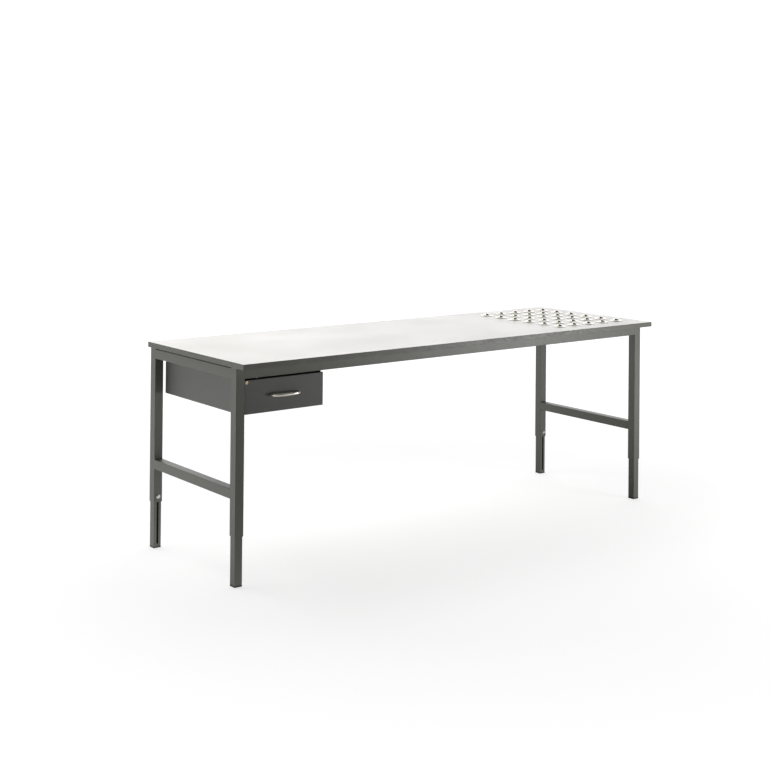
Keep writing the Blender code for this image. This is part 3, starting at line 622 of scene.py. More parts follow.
def weld_bead(name, start, end, radius):
    """A rippled weld bead along a joint."""
    start, end = Vector(start), Vector(end)
    length = (end - start).length
    ripples = max(4, round(length / (radius * 1.1)))
    profile = [(0, 0)]
    for index in range(ripples * 2 + 1):
        swell = 1.0 if index % 2 else 0.86
        profile.append((radius * swell, length * (index + 0.5) / (ripples * 2 + 2)))
    profile.append((0, length))
    bead = lathe(name, start, profile, 12, (end - start).normalized())
    smoothed(bead)
    return bead


def make_end_frames(sizes):
    """Two welded end frames: uprights, top rail, cross bar and their weld beads."""
    for side in SIDES:
        low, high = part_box("side_frame_" + side)
        posts = {"front": low.y, "back": high.y - TUBE}
        coat = [finish("frame")]
        for depth, y in posts.items():
            post = tube("upright_{}_{}".format(depth, side), (low.x, y, low.z),
                        (high.x, y + TUBE, high.z), 2, sizes)
            bolt_low, bolt_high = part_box("clamp_bolt_{}_{}".format(depth, side))
            bolt_z = (bolt_low.z + bolt_high.z) / 2
            middle = (low.x + high.x) / 2
            inner = y + TUBE if depth == "front" else y
            cut(post, rod("bolt_hole", (middle, inner - PAST * 2, bolt_z),
                          (middle, inner + PAST * 2, bolt_z), sizes.bolt_radius + 0.0003))
            smoothed(post)
            keep(post, "root", "frame_paint", coat, *(["side_frame_" + side] if depth == "front" else []))
        near, far = posts["front"] + TUBE, posts["back"]
        for name, z in (("top_rail", RAIL_BOTTOM), ("cross_bar", CROSSBAR_BOTTOM)):
            bar = tube("{}_{}".format(name, side), (low.x, near - WELD_BITE, z),
                       (high.x, far + WELD_BITE, z + TUBE), 1, sizes)
            vent = (low.x + TUBE / 2, far - sizes.vent_inset)
            cut(bar, rod("vent", (*vent, z - PAST), (*vent, z + PAST * 2), sizes.vent_radius))
            smoothed(bar)
            keep(bar, "root", "frame_paint", coat)
            heights = (z,) if name == "top_rail" else (z, z + TUBE)
            for end, y in (("front", near), ("back", far)):
                for count, height in enumerate(heights):
                    bead = weld_bead("weld_{}_{}_{}_{}".format(name, side, end, count + 1),
                                     (low.x + sizes.tube_corner, y, height),
                                     (high.x - sizes.tube_corner, y, height), sizes.bead)
                    keep(bead, "root", "frame_paint", coat)


def make_beams(sizes):
    """The two long beams, the lugs that carry the board, and their screws."""
    coat = [finish("frame")]
    lugs = []
    for depth in ("front", "back"):
        low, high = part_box("beam_" + depth)
        near = low.y if depth == "front" else high.y - TUBE
        beam = tube("long_beam_" + depth, (low.x, near, RAIL_BOTTOM), (high.x, near + TUBE, FRAME_TOP),
                    0, sizes)
        smoothed(beam)
        keep(beam, "root", "frame_paint", coat, "beam_" + depth)
        face, inward = (near + TUBE, 1) if depth == "front" else (near, -1)
        for count, x in enumerate(LUG_PLACES):
            tip = face + inward * LUG_SIZE[1]
            y0, y1 = sorted((face - inward * WELD_BITE, tip))
            lug = block("lug_{}_{}".format(depth, count + 1),
                        (x - LUG_SIZE[0] / 2, y0, FRAME_TOP - LUG_SIZE[2]),
                        (x + LUG_SIZE[0] / 2, y1, FRAME_TOP))
            soften(lug, lambda place, way: abs(way.z) > FACING and abs(place.y - tip) < NEAR, 0.006, 5)
            soften(lug, lambda place, way: abs(way.z) < FACING and place.z < FRAME_TOP - NEAR
                   and abs(place.y - (face - inward * WELD_BITE)) > NEAR, 0.0004, 2)
            smoothed(lug)
            keep(lug, "root", "frame_paint", coat)
            lugs.append((x, face + inward * LUG_SIZE[1] / 2, FRAME_TOP - LUG_SIZE[2]))
    inset = (sizes.sheet + 0.020) / 2
    start = BEAM_LOW.y + TUBE
    quarter = (HOUSE_HIGH.y - start) / 4
    seats = [("lug_screw", spot) for spot in lugs]
    seats += [("lip_screw", (x, y, FRAME_TOP - sizes.sheet))
              for x in (HOUSE_LOW.x + inset, HOUSE_HIGH.x - inset)
              for y in (start + quarter, HOUSE_HIGH.y - quarter)]
    seats += [("hanger_screw", (HOUSE_LOW.x + 0.061, HOUSE_LOW.y + 0.0065, RAIL_BOTTOM - 0.0025)),
              ("hanger_screw", (HOUSE_HIGH.x - 0.061, HOUSE_LOW.y + 0.023, RAIL_BOTTOM - 0.0025))]
    model = screw("screw", seats[0][1], (0, 0, 1), sizes)
    for count, (name, seat) in enumerate(seats):
        keep(copied(model, "{}_{}".format(name, count + 1), Vector(seat) - Vector(seats[0][1])),
             "root", "zinc", [finish("zinc")])
    bpy.data.objects.remove(model, do_unlink=True)


def make_legs(sizes):
    """The telescopic leg tubes with their clamping slots."""
    for corner in CORNERS:
        low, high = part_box("leg_" + corner)
        leg = tube("leg_tube_" + corner, low, high, 2, sizes)
        facing = 1 if corner.startswith("front") else -1
        face = high.y if facing > 0 else low.y
        middle = (low.x + high.x) / 2
        y0, y1 = sorted((face + facing * PAST, face - facing * (sizes.tube_wall + PAST)))
        half = sizes.slot_width / 2
        slot = block("slot", (middle - half, y0, low.z + 0.008), (middle + half, y1, high.z - 0.035))
        soften(slot, lambda place, way: abs(way.y) > FACING, half - TINY * 5, 6)
        cut(leg, slot)
        smoothed(leg)
        keep(leg, "leg_body_" + corner, "frame_paint", [finish("frame")], "leg_" + corner)


def make_feet(sizes):
    """The plastic end caps: a soft chamfered rim, a recessed sole and a plug."""
    first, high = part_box("foot_" + CORNERS[0])
    rim = first.z + sizes.foot_rim
    cap = block("foot_cap", first, (high.x, high.y, rim))
    soften(cap, lambda place, way: abs(way.z) > FACING, sizes.foot_corner, 5)
    soften(cap, lambda place, way: abs(way.z) < FACING, sizes.foot_edge, 3)
    inset = Vector((sizes.foot_sole, sizes.foot_sole, 0))
    recess = block("recess", first + inset - Vector((0, 0, PAST)),
                   Vector((high.x, high.y, first.z + sizes.foot_edge)) - inset)
    soften(recess, lambda place, way: abs(way.z) > FACING, sizes.foot_corner, 4)
    cut(cap, recess)
    step = Vector((sizes.foot_step, sizes.foot_step, 0))
    plug = block("plug", Vector((first.x, first.y, rim - NEAR)) + step, high - step)
    soften(plug, lambda place, way: abs(way.z) > FACING, sizes.foot_corner / 2, 3)
    soften(plug, lambda place, way: abs(way.z) < FACING and place.z > high.z - NEAR,
           sizes.foot_edge, 2)
    model = joined("foot_cap", cap, plug)
    smoothed(model)
    for corner in CORNERS:
        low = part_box("foot_" + corner)[0]
        keep(copied(model, "foot_cap_" + corner, low - first), "leg_body_" + corner, "foot",
             [finish("foot")], "foot_" + corner)
    bpy.data.objects.remove(model, do_unlink=True)


def make_clamps(sizes):
    """The clamp bolts: a chamfered hexagon head, a washer, the shank and a square nut."""
    for corner in CORNERS:
        low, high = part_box("clamp_bolt_" + corner)
        facing = 1 if corner.startswith("front") else -1
        post_low, post_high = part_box("side_frame_" + corner.split("_")[1])
        face = post_low.y + TUBE if facing > 0 else post_high.y - TUBE
        x, z = (low.x + high.x) / 2, (low.z + high.z) / 2
        out = Vector((0, facing, 0))
        seat = Vector((x, face, z))
        washer, head = sizes.washer_thick, sizes.bolt_head_thick
        ring = lathe("washer", seat + out * 0.0003,
                     [(sizes.bolt_radius, 0), (sizes.washer_radius - 0.0003, 0),
                      (sizes.washer_radius, 0.0003), (sizes.washer_radius, washer - 0.0004),
                      (sizes.washer_radius - 0.0004, washer), (sizes.bolt_radius, washer),
                      (sizes.bolt_radius, 0)], 40, out)
        base = seat + out * (0.0003 + washer)
        hexagon = rod("hexagon", base, base + out * head, sizes.bolt_head, 6)
        crown = sizes.bolt_head
        dome = lathe("dome", base, [(0, 0), (crown * 0.97, 0), (crown * 1.02, 0.0004),
                                    (crown * 1.02, head * 0.72), (crown * 0.86, head),
                                    (crown * 0.62, head), (crown * 0.55, head - 0.0003),
                                    (0, head - 0.0003)], 48, out)
        shape(hexagon, "BOOLEAN", operation="INTERSECT", object=dome, solver="EXACT")
        bpy.data.objects.remove(dome, do_unlink=True)
        tail = low.y if facing > 0 else high.y
        reach = abs(tail - base.y)
        turns = int(reach / 0.00125)
        thread = [(0, 0), (sizes.bolt_radius, 0), (sizes.bolt_radius, 0.006)]
        for index in range(turns * 2):
            spot = 0.006 + (reach - 0.0065) * index / (turns * 2)
            thread.append((sizes.bolt_radius * (0.88 if index % 2 else 1.0), spot))
        thread += [(sizes.bolt_radius * 0.8, reach), (0, reach)]
        shank = lathe("shank", base, thread, 20, -out)
        inner = face - facing * (sizes.tube_wall * 2 + 0.0005 + 0.0003)
        y0, y1 = sorted((inner, inner - facing * 0.0065))
        nut = block("nut", (x - 0.011, y0, z - 0.011), (x + 0.011, y1, z + 0.011))
        soften(nut, lambda place, way: True, 0.0008, 2)
        clamp = joined("clamp_" + corner, hexagon, ring, shank, nut)
        smoothed(clamp)
        keep(clamp, "root", "zinc", [finish("zinc")], "clamp_bolt_" + corner)


def make_housing(sizes):
    """The folded drawer housing: two sides with lips, a back and the hanger strip."""
    half = sizes.sheet / 2
    low, high = HOUSE_LOW, HOUSE_HIGH
    coat = [finish("drawer")]
    notch_y = BEAM_LOW.y + TUBE + 0.0003
    bottom, top = low.z + half, high.z - half
    lock_low, lock_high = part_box("lock_core")
    for side, x, way in (("left", low.x + half, 1), ("right", high.x - half, -1)):
        points = [(x + way * (SKIRT_FLANGE - half), HOUSE_START, bottom), (x, HOUSE_START, bottom),
                  (x, HOUSE_START, top), (x + way * (TOP_FLANGE - half), HOUSE_START, top)]
        plate = folded("housing_side_" + side, points, (0, high.y - HOUSE_START, 0), sizes.sheet,
                       FOLD_RADIUS)
        x0, x1 = sorted((x - way * PAST, x + way * (TOP_FLANGE + PAST)))
        tools = [block("notch", (x0, HOUSE_START - PAST, RAIL_BOTTOM - HANGER_DROP),
                       (x1, notch_y, FRAME_TOP + PAST))]
        if side == "left":
            middle = (lock_low.z + lock_high.z) / 2
            tools.append(block("cam_slot", (x0, lock_high.y - CAM_SLOT_ENDS[0],
                                           middle - CAM_SLOT_ROOM[0]),
                               (x + half + NEAR, lock_high.y - CAM_SLOT_ENDS[1],
                                middle + CAM_SLOT_ROOM[1])))
        for tool in tools:
            cut(plate, tool)
        edit(plate)
        bpy.ops.mesh.select_all(action="SELECT")
        bpy.ops.mesh.bisect(plane_co=(x, HOUSE_START, FRONT_LOW.z), plane_no=(0, HOUSE_LOW.z - FRONT_LOW.z,
                            -sizes.skirt_rise), use_fill=True, clear_outer=True)
        smoothed(plate)
        keep(plate, "root", "drawer_paint", coat, *(["drawer_housing"] if side == "left" else []))
    back = [(low.x + half, high.y - sizes.sheet - half, bottom),
            (high.x - half, high.y - sizes.sheet - half, bottom)]
    sheet = folded("housing_back", back, (0, 0, top - bottom), sizes.sheet, FOLD_RADIUS)
    smoothed(sheet)
    keep(sheet, "root", "drawer_paint", coat)
    strip_z = RAIL_BOTTOM - HANGER_DROP
    strip = folded("housing_hanger", [(low.x + half, low.y, strip_z), (high.x - half, low.y, strip_z)],
                   (0, HANGER_DEPTH, 0), HANGER_SHEET, FOLD_RADIUS)
    soften(strip, lambda place, way: abs(way.z) < FACING, 0.0004, 2)
    smoothed(strip)
    keep(strip, "root", "drawer_paint", coat)


def make_tray(sizes):
    """The drawer tray, folded up from one sheet, with a softened rim."""
    tray = block("tray", TRAY_LOW, TRAY_HIGH)
    open_up(tray, lambda place, way: way.z > FACING)
    soften(tray, lambda place, way: place.z < TRAY_HIGH.z - NEAR, sizes.bend, 4)
    shape(tray, "SOLIDIFY", thickness=sizes.tray_sheet, offset=-1, use_even_offset=True)
    soften(tray, lambda place, way: place.z > TRAY_HIGH.z - NEAR, sizes.tray_sheet * 0.3, 2)
    smoothed(tray)
    keep(tray, "drawer", "drawer_paint", [finish("drawer")], "drawer_tray")


def make_drawer_front(sizes):
    """The folded drawer front with softly rounded edges, bored for the lock."""
    front = block("folded_front", FRONT_LOW, FRONT_HIGH)
    open_up(front, lambda place, way: way.y > FACING)
    soften(front, lambda place, way: place.y < FRONT_HIGH.y - NEAR, sizes.front_fold, 5)
    shape(front, "SOLIDIFY", thickness=sizes.sheet, offset=-1, use_even_offset=True)
    low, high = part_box("lock_barrel")
    x, z = (low.x + high.x) / 2, (low.z + high.z) / 2
    cut(front, rod("lock_bore", (x, FRONT_LOW.y - PAST, z), (x, FRONT_LOW.y + sizes.sheet + PAST, z),
                   sizes.lock_body + 0.0002, 40))
    smoothed(front)
    keep(front, "drawer", "drawer_paint", [finish("drawer")], "drawer_front")


def make_handle(sizes):
    """The bow handle, swept along its curve, with the two screws inside the tray."""
    low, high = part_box("drawer_handle")
    radius = sizes.handle_radius
    x, z = (low.x + high.x) / 2, (low.z + high.z) / 2
    half = (high.x - low.x) / 2 - radius
    seat = FRONT_LOW.y - 0.0003
    reach = seat - low.y - radius - HANDLE_START
    power = 2 / BOW_SQUARENESS
    path = [(x - half, seat)]
    for index in range(BOW_STEPS + 1):
        angle = math.pi * index / BOW_STEPS
        side = math.copysign(abs(math.cos(angle)) ** power, -math.cos(angle))
        path.append((x + side * half, seat - HANDLE_START - abs(math.sin(angle)) ** power * reach))
    path.append((x + half, seat))
    put_down()
    bpy.ops.curve.primitive_nurbs_path_add()
    bow = bpy.context.object
    bow.location = (0, 0, 0)
    curve = bow.data
    curve.splines.clear()
    run = curve.splines.new("POLY")
    run.points.add(len(path) - 1)
    for spot, (px, py) in zip(run.points, path):
        spot.co = (px, py, z, 1)
    curve.bevel_depth = radius
    curve.bevel_resolution = 7
    curve.use_fill_caps = True
    take(bow)
    bpy.ops.object.convert(target="MESH")
    bow = named("bow_handle")
    edit(bow)
    bpy.ops.mesh.select_all(action="SELECT")
    bpy.ops.mesh.remove_doubles(threshold=TINY)
    bpy.ops.mesh.normals_make_consistent(inside=False)
    smoothed(bow)
    keep(bow, "drawer", "handle", [finish("handle")], "drawer_handle")
    model = screw("screw", (0, 0, 0), (0, 0, 1), sizes, sizes.handle_screw)
    model.data.transform(Vector((0, 0, 1)).rotation_difference(Vector((0, -1, 0))).to_matrix().to_4x4())
    for count, spot in enumerate((x - half, x + half)):
        head = copied(model, "handle_screw_{}".format(count + 1),
                      (spot, TRAY_LOW.y + sizes.tray_sheet + NEAR, z))
        keep(head, "drawer", "zinc", [finish("zinc")])
    bpy.data.objects.remove(model, do_unlink=True)


def make_lock(sizes):
    """The cylinder lock: a domed rose and barrel, and the turning core with its cam."""
    low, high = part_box("lock_barrel")
    x, z = (low.x + high.x) / 2, (low.z + high.z) / 2
    face = FRONT_LOW.y - 0.0003
    centre = Vector((x, face, z))
    rose, body, core_r = (high.x - low.x) / 2, sizes.lock_body, sizes.lock_core
    out = Vector((0, -1, 0))
    thick = face - low.y
    back = -(high.y - face)
    profile = [(core_r + 0.0002, back), (body, back), (body, 0), (rose, 0), (rose, thick * 0.45)]
    profile += arc((rose - thick * 0.55, thick * 0.45), thick * 0.55, 0, 90, 4)
    profile += [(core_r + 0.0006, thick), (core_r + 0.0002, thick - 0.0004), (core_r + 0.0002, back)]
    barrel = lathe("lock_cylinder", centre, profile, 40, out)
    smoothed(barrel)
    keep(barrel, "drawer", "lock", [finish("lock")], "lock_barrel")
    core_low, core_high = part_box("lock_core")
    front, tail = face - core_low.y, -(core_high.y - face)
    core = lathe("lock_plug", centre, [(0, tail), (core_r, tail), (core_r, front - 0.0003),
                                       (core_r - 0.0003, front), (0, front)], 32, out)
    cut(core, block("keyway", (x - 0.0006, core_low.y - PAST, z - 0.0025),
                    (x + 0.0006, core_low.y + 0.006, z + 0.0025)))
    smoothed(core)
    # Painted shade: the keyway's walls take the dark seal plastic, standing in for the shade inside the slot.
    paint_faces(core, 1, lambda place, way: abs(place.x - x) < 0.0007 and abs(place.z - z) < 0.0026
                and place.y > core_low.y + NEAR / 2 and place.y < core_low.y + 0.0065)
    keep(core, "lock", "lock", [finish("lock"), finish("seal")], "lock_core")
    cam = block("lock_cam", (core_low.x, high.y + 0.0003, core_low.z),
                (core_high.x, high.y + 0.0023, core_high.z))
    soften(cam, lambda place, way: abs(way.y) > FACING, 0.0022, 4)
    soften(cam, lambda place, way: abs(way.y) < FACING, 0.0003, 2)
    smoothed(cam)
    keep(cam, "lock", "lock", [finish("zinc")])


def make_runners(sizes):
    """The drawer runners: three nested channels on each side, with their slots."""
    half = sizes.runner_sheet / 2
    coat = [finish("runner_zinc")]
    for side in SIDES:
        for kind, body in (("fixed", "root"), ("middle", "runner_middle"), ("drawer", "drawer")):
            node = "runner_{}_{}".format(kind, side)
            low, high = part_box(node)
            web_low = (side == "left") != (kind == "drawer")
            web, tip = (low.x + half, high.x) if web_low else (high.x - half, low.x)
            points = [(tip, low.y, low.z + half), (web, low.y, low.z + half),
                      (web, low.y, high.z - half), (tip, low.y, high.z - half)]
            rail = folded("{}_rail_{}".format(kind, side), points, (0, high.y - low.y, 0),
                          sizes.runner_sheet, 0.0011)
            tools = []
            middle = (low.z + high.z) / 2
            for share in (0.08, 0.30, 0.52, 0.74, 0.93):
                y = low.y + (high.y - low.y) * share
                slot = block("slot", (web - PAST, y - 0.007, middle - 0.0022),
                             (web + PAST, y + 0.007, middle + 0.0022))
                soften(slot, lambda place, way: abs(way.x) > FACING, 0.0021, 4)
                tools.append(slot)
            cut(rail, *tools)
            smoothed(rail)
            keep(rail, body, "zinc", coat, node)


def make_stage(sizes):
    """A pale floor that glows as painted light, soft studio light and the camera at the photograph's angle.
    """
    scene = bpy.context.scene
    scene.view_settings.view_transform = "Standard"
    scene.view_settings.look = "None"
    put_down()
    bpy.ops.mesh.primitive_plane_add(size=120, location=(0, 0, 0))
    floor = named("studio_floor")
    # Painted light: the floor glows. Seen by the camera it glows dimmer near the bench and in full far off;
    # the light it throws on the bench rises towards FLOOR_WAY.
    skin = Finish("glowing_studio_paper", (0.42, 0.42, 0.42), 1.0, Specular_IOR_Level=0.0,
                  Emission_Color=(1.0, 1.0, 1.0, 1.0))
    away = skin.add("ShaderNodeVectorMath", [(0, skin.place)], operation="LENGTH").outputs["Value"]
    glow = skin.between(away, *STUDIO_EDGE, *FLOOR_GLOW)
    ray = skin.add("ShaderNodeLightPath").outputs["Is Camera Ray"]
    along = skin.add("ShaderNodeVectorMath", [(0, skin.place)], operation="DOT_PRODUCT")
    along.inputs[1].default_value = FLOOR_WAY
    bounce = skin.between(along.outputs["Value"], *FLOOR_TURN, *FLOOR_LIGHT)
    more = skin.add("ShaderNodeMath", [(0, glow), (1, bounce)], operation="SUBTRACT").outputs[0]
    lit = skin.add("ShaderNodeMath", [(0, more), (1, ray), (2, bounce)], operation="MULTIPLY_ADD").outputs[0]
    skin.tree.links.new(lit, skin.shader.inputs["Emission Strength"])
    skin.bump(skin.noise(30, 2.0), 0.0002, 0.1)
    floor.data.materials.append(skin.material)

    world = bpy.data.worlds.new("studio")
    scene.world = world
    world.use_nodes = True
    tree = world.node_tree
    sky = tree.nodes["Background"]
    way = tree.nodes.new("ShaderNodeTexCoord")
    turn = tree.nodes.new("ShaderNodeVectorMath")
    turn.operation = "DOT_PRODUCT"
    turn.inputs[1].default_value = BACKDROP_WAY
    ramp = tree.nodes.new("ShaderNodeMapRange")
    ramp.interpolation_type = "SMOOTHSTEP"
    for key, value in zip(("From Min", "From Max", "To Min", "To Max"), (*BACKDROP_TURN, *BACKDROP_GLOW)):
        ramp.inputs[key].default_value = value
    tree.links.new(way.outputs["Generated"], turn.inputs[0])
    tree.links.new(turn.outputs["Value"], ramp.inputs["Value"])
    tree.links.new(ramp.outputs["Result"], sky.inputs["Strength"])
    seen = tree.nodes.new("ShaderNodeBackground")
    seen.inputs["Strength"].default_value = 1.05
    path = tree.nodes.new("ShaderNodeLightPath")
    both = tree.nodes.new("ShaderNodeMixShader")
    sky.inputs["Color"].default_value = seen.inputs["Color"].default_value = (1.0, 1.0, 1.0, 1.0)
    tree.links.new(path.outputs["Is Camera Ray"], both.inputs[0])
    tree.links.new(sky.outputs[0], both.inputs[1])
    tree.links.new(seen.outputs[0], both.inputs[2])
    tree.links.new(both.outputs[0], tree.nodes["World Output"].inputs["Surface"])

    for name, place, aim, size, power in (
            ("overhead_soft_box", (-1.8, 1.5, 3.9), (-0.2, 0.0, 0.6), (2.6, 1.6), 52),
            ("left_soft_box", (-3.6, 1.9, 0.22), (-1.2, 0.2, 0.05), (1.6, 0.3), 5),
            ("right_soft_box", (2.2, -2.4, 0.4), (1.4, -0.3, 0.2), (0.9, 0.6), 45)):
        bpy.ops.object.light_add(type="AREA", location=place)
        light = bpy.context.object
        light.name = light.data.name = name
        light.data.shape = "RECTANGLE"
        light.data.size, light.data.size_y = size
        light.data.energy = power
        light.visible_camera = False
        light.rotation_euler = (Vector(aim) - Vector(place)).to_track_quat("-Z", "Y").to_euler()

    yaw, pitch, roll = math.radians(36.73), math.radians(0.44), math.radians(0.53)
    ahead = Vector((math.sin(yaw) * math.cos(pitch), math.cos(yaw) * math.cos(pitch), math.sin(pitch)))
    side = Vector((math.cos(yaw), -math.sin(yaw), 0))
    up = side.cross(ahead)
    right = side * math.cos(roll) + up * math.sin(roll)
    above = up * math.cos(roll) - side * math.sin(roll)
    bpy.ops.object.camera_add(location=(-4.0559, -4.7297, 1.7135))
    camera = bpy.context.object
    camera.name = camera.data.name = "photograph_camera"
    turn = Matrix((right, above, -ahead)).transposed()
    camera.rotation_euler = turn.to_euler()
    camera.data.sensor_width = 36
    camera.data.lens = 36 * 1343.74 / 770
    camera.data.shift_x = (385 - 327.18) / 770
    camera.data.shift_y = -(385 - 139.59) / 770
    camera.data.clip_end = 200
    scene.camera = camera


# The add-on

def length(label, words, default):
    """A length that a user can change."""
    return FloatProperty(name=label, description=words, default=default, min=0.0, precision=5,
                         subtype="DISTANCE", unit="LENGTH")


def colour(label, words, default):
    """A colour that a user can change."""
    return FloatVectorProperty(name=label, description=words, default=default, size=3, min=0.0,
                               max=1.0, subtype="COLOR")


class BenchSizes(PropertyGroup):
    """Sizes of the bench's details."""
    band_width: length("Edge strip", "Thickness of the edge strip", 0.002)
    band_round: length("Edge strip rounding", "Radius of the strip's outer edges", 0.0006)
    tube_corner: length("Tube corner", "Outside corner radius of the square tubes", 0.0018)
    tube_wall: length("Tube wall", "Wall of the square tubes", 0.002)
    bead: length("Weld bead", "Radius of the weld beads", 0.0021)
    vent_radius: length("Vent", "Radius of the vent holes", 0.003)
    vent_inset: length("Vent inset", "Vent hole from the back upright", 0.040)
    slot_width: length("Leg slot", "Width of the clamping slots", 0.009)
    bolt_radius: length("Bolt", "Radius of the clamp bolts", 0.004)
    bolt_head: length("Bolt head", "Hexagon head, centre to corner", 0.0075)
    bolt_head_thick: length("Bolt head height", "Height of the hexagon head", 0.0053)
    washer_radius: length("Washer", "Radius of the washers", 0.0088)
    washer_thick: length("Washer thickness", "Thickness of the washers", 0.0016)
    screw_head: length("Screw head", "Radius of the pan head screws", 0.005)
    flange_radius: length("Ball unit flange", "Radius of a ball unit's flange", 0.030)
    flange_thick: length("Flange thickness", "Height of the flange over the top", 0.0022)
    collar_foot: length("Collar foot", "Radius at the foot of the raised collar", 0.0200)
    collar_rise: length("Collar height", "Height of the collar over the top", 0.0046)
    collar_lip: length("Collar lip", "Radius of the collar's rolled lip", 0.0008)
    ball_play: length("Ball play", "Gap between a ball and its cup", 0.0005)
    cup_body: length("Cup body", "Radius of the cup inside the board", 0.0175)
    cup_depth: length("Cup depth", "Depth of the cup inside the board", 0.0180)
    sheet: length("Sheet", "Sheet thickness of the housing and the front", 0.0015)
    skirt_rise: length("Skirt rise", "Length over which the housing's skirt rises to the front", 0.036)
    tray_sheet: length("Tray sheet", "Sheet thickness of the tray", 0.0012)
    bend: length("Tray bend", "Outside radius of the tray's bends", 0.0024)
    front_fold: length("Front fold", "Outside radius of the front's folds", 0.0020)
    runner_sheet: length("Runner sheet", "Sheet thickness of the runners", 0.0012)
    foot_rim: length("Foot rim", "Height of a foot's rim under its leg tube", 0.006)
    foot_corner: length("Foot corner", "Radius of a foot's upright edges", 0.0028)
    foot_edge: length("Foot edge", "Radius of a foot's lower and upper edges", 0.0009)
    foot_sole: length("Foot sole", "Width of the sole round the recess under a foot", 0.005)
    foot_step: length("Foot step", "Step in from a foot's rim to its plug", 0.0031)
    handle_screw: length("Handle screw", "Head radius of the screws that hold the handle", 0.004)
    handle_radius: length("Handle", "Radius of the handle's bar", 0.0055)
    lock_body: length("Lock body", "Radius of the lock's barrel", 0.0052)
    lock_core: length("Lock core", "Radius of the lock's plug", 0.0038)


class BenchColours(PropertyGroup):
    """Colours of the bench's finishes."""
    laminate: colour("Worktop", "Laminate of the worktop", (0.775, 0.760, 0.728))
    backing: colour("Backing", "Sheet under the board", (0.62, 0.60, 0.55))
    edging: colour("Edge strip", "Plastic edge strip", (0.080, 0.082, 0.067))
    frame_paint: colour("Frame", "Powder coat of the frame", (0.080, 0.082, 0.067))
    drawer_paint: colour("Drawer", "Powder coat of the drawer", (0.074, 0.076, 0.066))
    zinc: colour("Zinc", "Zinc plating", (0.74, 0.74, 0.72))
    cup: colour("Ball cup", "Plating of the ball units", (0.55, 0.53, 0.465))
    ball: colour("Ball", "Polished steel balls", (0.62, 0.60, 0.56))
    handle: colour("Handle", "Satin nickel of the handle", (0.90, 0.86, 0.78))
    lock: colour("Lock", "Pale brass of the lock", (0.80, 0.70, 0.52))
    plastic: colour("Plastic", "Black plastic of the feet", (0.018, 0.018, 0.018))


class BenchOperator:
    """What the bench's operators share."""
    bl_options = {"REGISTER", "UNDO"}
    make = None

    def execute(self, context):
        type(self).make(context.scene.bench_sizes)
        return {"FINISHED"}


class BENCH_OT_board(BenchOperator, Operator):
    """Model the faced board, bored for the ball units"""
    bl_idname = "bench.board"
    bl_label = "Board"
    make = staticmethod(make_board)


class BENCH_OT_edge_strip(BenchOperator, Operator):
    """Model the strip round the board"""
    bl_idname = "bench.edge_strip"
    bl_label = "Edge Strip"
    make = staticmethod(make_edge_strip)


class BENCH_OT_ball_units(BenchOperator, Operator):
    """Model the ball units with their balls"""
    bl_idname = "bench.ball_units"
    bl_label = "Ball Units"
    make = staticmethod(make_ball_units)


class BENCH_OT_end_frames(BenchOperator, Operator):
    """Model the two welded end frames"""
    bl_idname = "bench.end_frames"
    bl_label = "End Frames"
    make = staticmethod(make_end_frames)


class BENCH_OT_beams(BenchOperator, Operator):
    """Model the long beams, their lugs and the screws"""
    bl_idname = "bench.beams"
    bl_label = "Beams"
    make = staticmethod(make_beams)


class BENCH_OT_legs(BenchOperator, Operator):
    """Model the telescopic leg tubes"""
    bl_idname = "bench.legs"
    bl_label = "Legs"
    make = staticmethod(make_legs)


class BENCH_OT_feet(BenchOperator, Operator):
    """Model the feet"""
    bl_idname = "bench.feet"
    bl_label = "Feet"
    make = staticmethod(make_feet)


class BENCH_OT_clamps(BenchOperator, Operator):
    """Model the clamp bolts of the legs"""
    bl_idname = "bench.clamps"
    bl_label = "Leg Clamps"
    make = staticmethod(make_clamps)


class BENCH_OT_housing(BenchOperator, Operator):
    """Model the folded housing of the drawer"""
    bl_idname = "bench.housing"
    bl_label = "Drawer Housing"
    make = staticmethod(make_housing)


class BENCH_OT_tray(BenchOperator, Operator):
    """Model the drawer tray"""
    bl_idname = "bench.tray"
    bl_label = "Drawer Tray"
    make = staticmethod(make_tray)


class BENCH_OT_drawer_front(BenchOperator, Operator):
    """Model the folded drawer front"""
    bl_idname = "bench.drawer_front"
    bl_label = "Drawer Front"
    make = staticmethod(make_drawer_front)


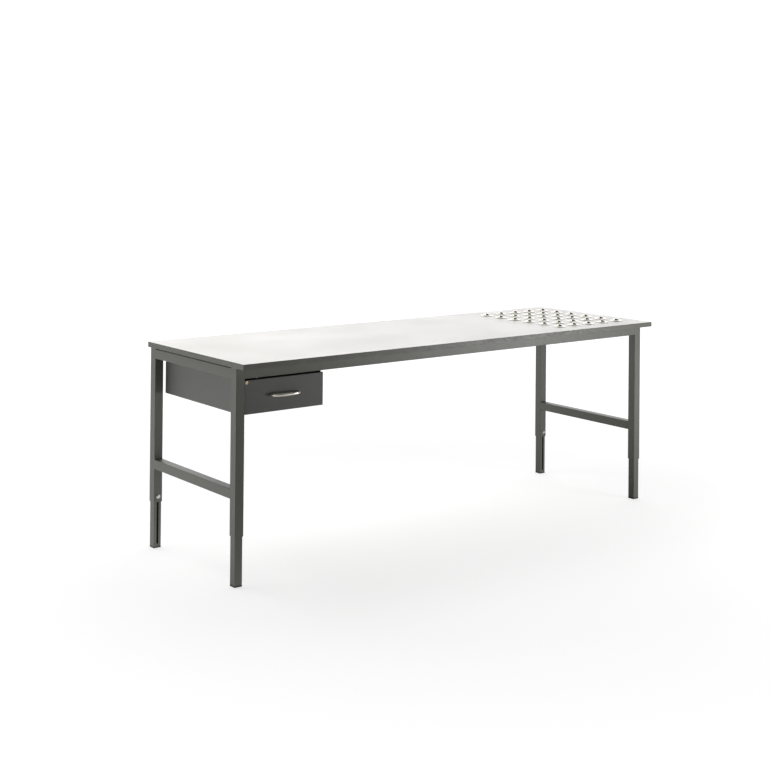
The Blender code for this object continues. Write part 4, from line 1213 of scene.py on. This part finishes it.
class BENCH_OT_handle(BenchOperator, Operator):
    """Model the bow handle"""
    bl_idname = "bench.handle"
    bl_label = "Handle"
    make = staticmethod(make_handle)


class BENCH_OT_lock(BenchOperator, Operator):
    """Model the cylinder lock"""
    bl_idname = "bench.lock"
    bl_label = "Lock"
    make = staticmethod(make_lock)


class BENCH_OT_runners(BenchOperator, Operator):
    """Model the drawer runners"""
    bl_idname = "bench.runners"
    bl_label = "Runners"
    make = staticmethod(make_runners)


class BENCH_OT_stage(BenchOperator, Operator):
    """Set up the floor, the light and the camera"""
    bl_idname = "bench.stage"
    bl_label = "Stage"
    make = staticmethod(make_stage)


STEPS = (BENCH_OT_board, BENCH_OT_edge_strip, BENCH_OT_ball_units, BENCH_OT_end_frames, BENCH_OT_beams,
         BENCH_OT_legs, BENCH_OT_feet, BENCH_OT_clamps, BENCH_OT_housing, BENCH_OT_tray,
         BENCH_OT_drawer_front, BENCH_OT_handle, BENCH_OT_lock, BENCH_OT_runners, BENCH_OT_stage)


class BENCH_PT_workbench(Panel):
    """Lists the steps, sizes and colours of the bench"""
    bl_label = "Workbench"
    bl_space_type = "VIEW_3D"
    bl_region_type = "UI"
    bl_category = "Workbench"

    def draw(self, context):
        for step in STEPS:
            self.layout.operator(step.bl_idname)
        for group in (context.scene.bench_sizes, context.scene.bench_colours):
            box = self.layout.box()
            for key in group.__annotations__:
                box.prop(group, key)


CLASSES = (BenchSizes, BenchColours, *STEPS, BENCH_PT_workbench)


def register():
    """Registers the add-on's classes and its properties on the scene."""
    for item in CLASSES:
        bpy.utils.register_class(item)
    bpy.types.Scene.bench_sizes = PointerProperty(type=BenchSizes)
    bpy.types.Scene.bench_colours = PointerProperty(type=BenchColours)


def unregister():
    """Removes the properties and the classes."""
    del bpy.types.Scene.bench_colours
    del bpy.types.Scene.bench_sizes
    for item in reversed(CLASSES):
        bpy.utils.unregister_class(item)


def main():
    """Registers the add-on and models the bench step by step."""
    register()
    for step in STEPS:
        family, name = step.bl_idname.split(".")
        getattr(getattr(bpy.ops, family), name)()
    put_down()


if __name__ == "__main__":
    main()
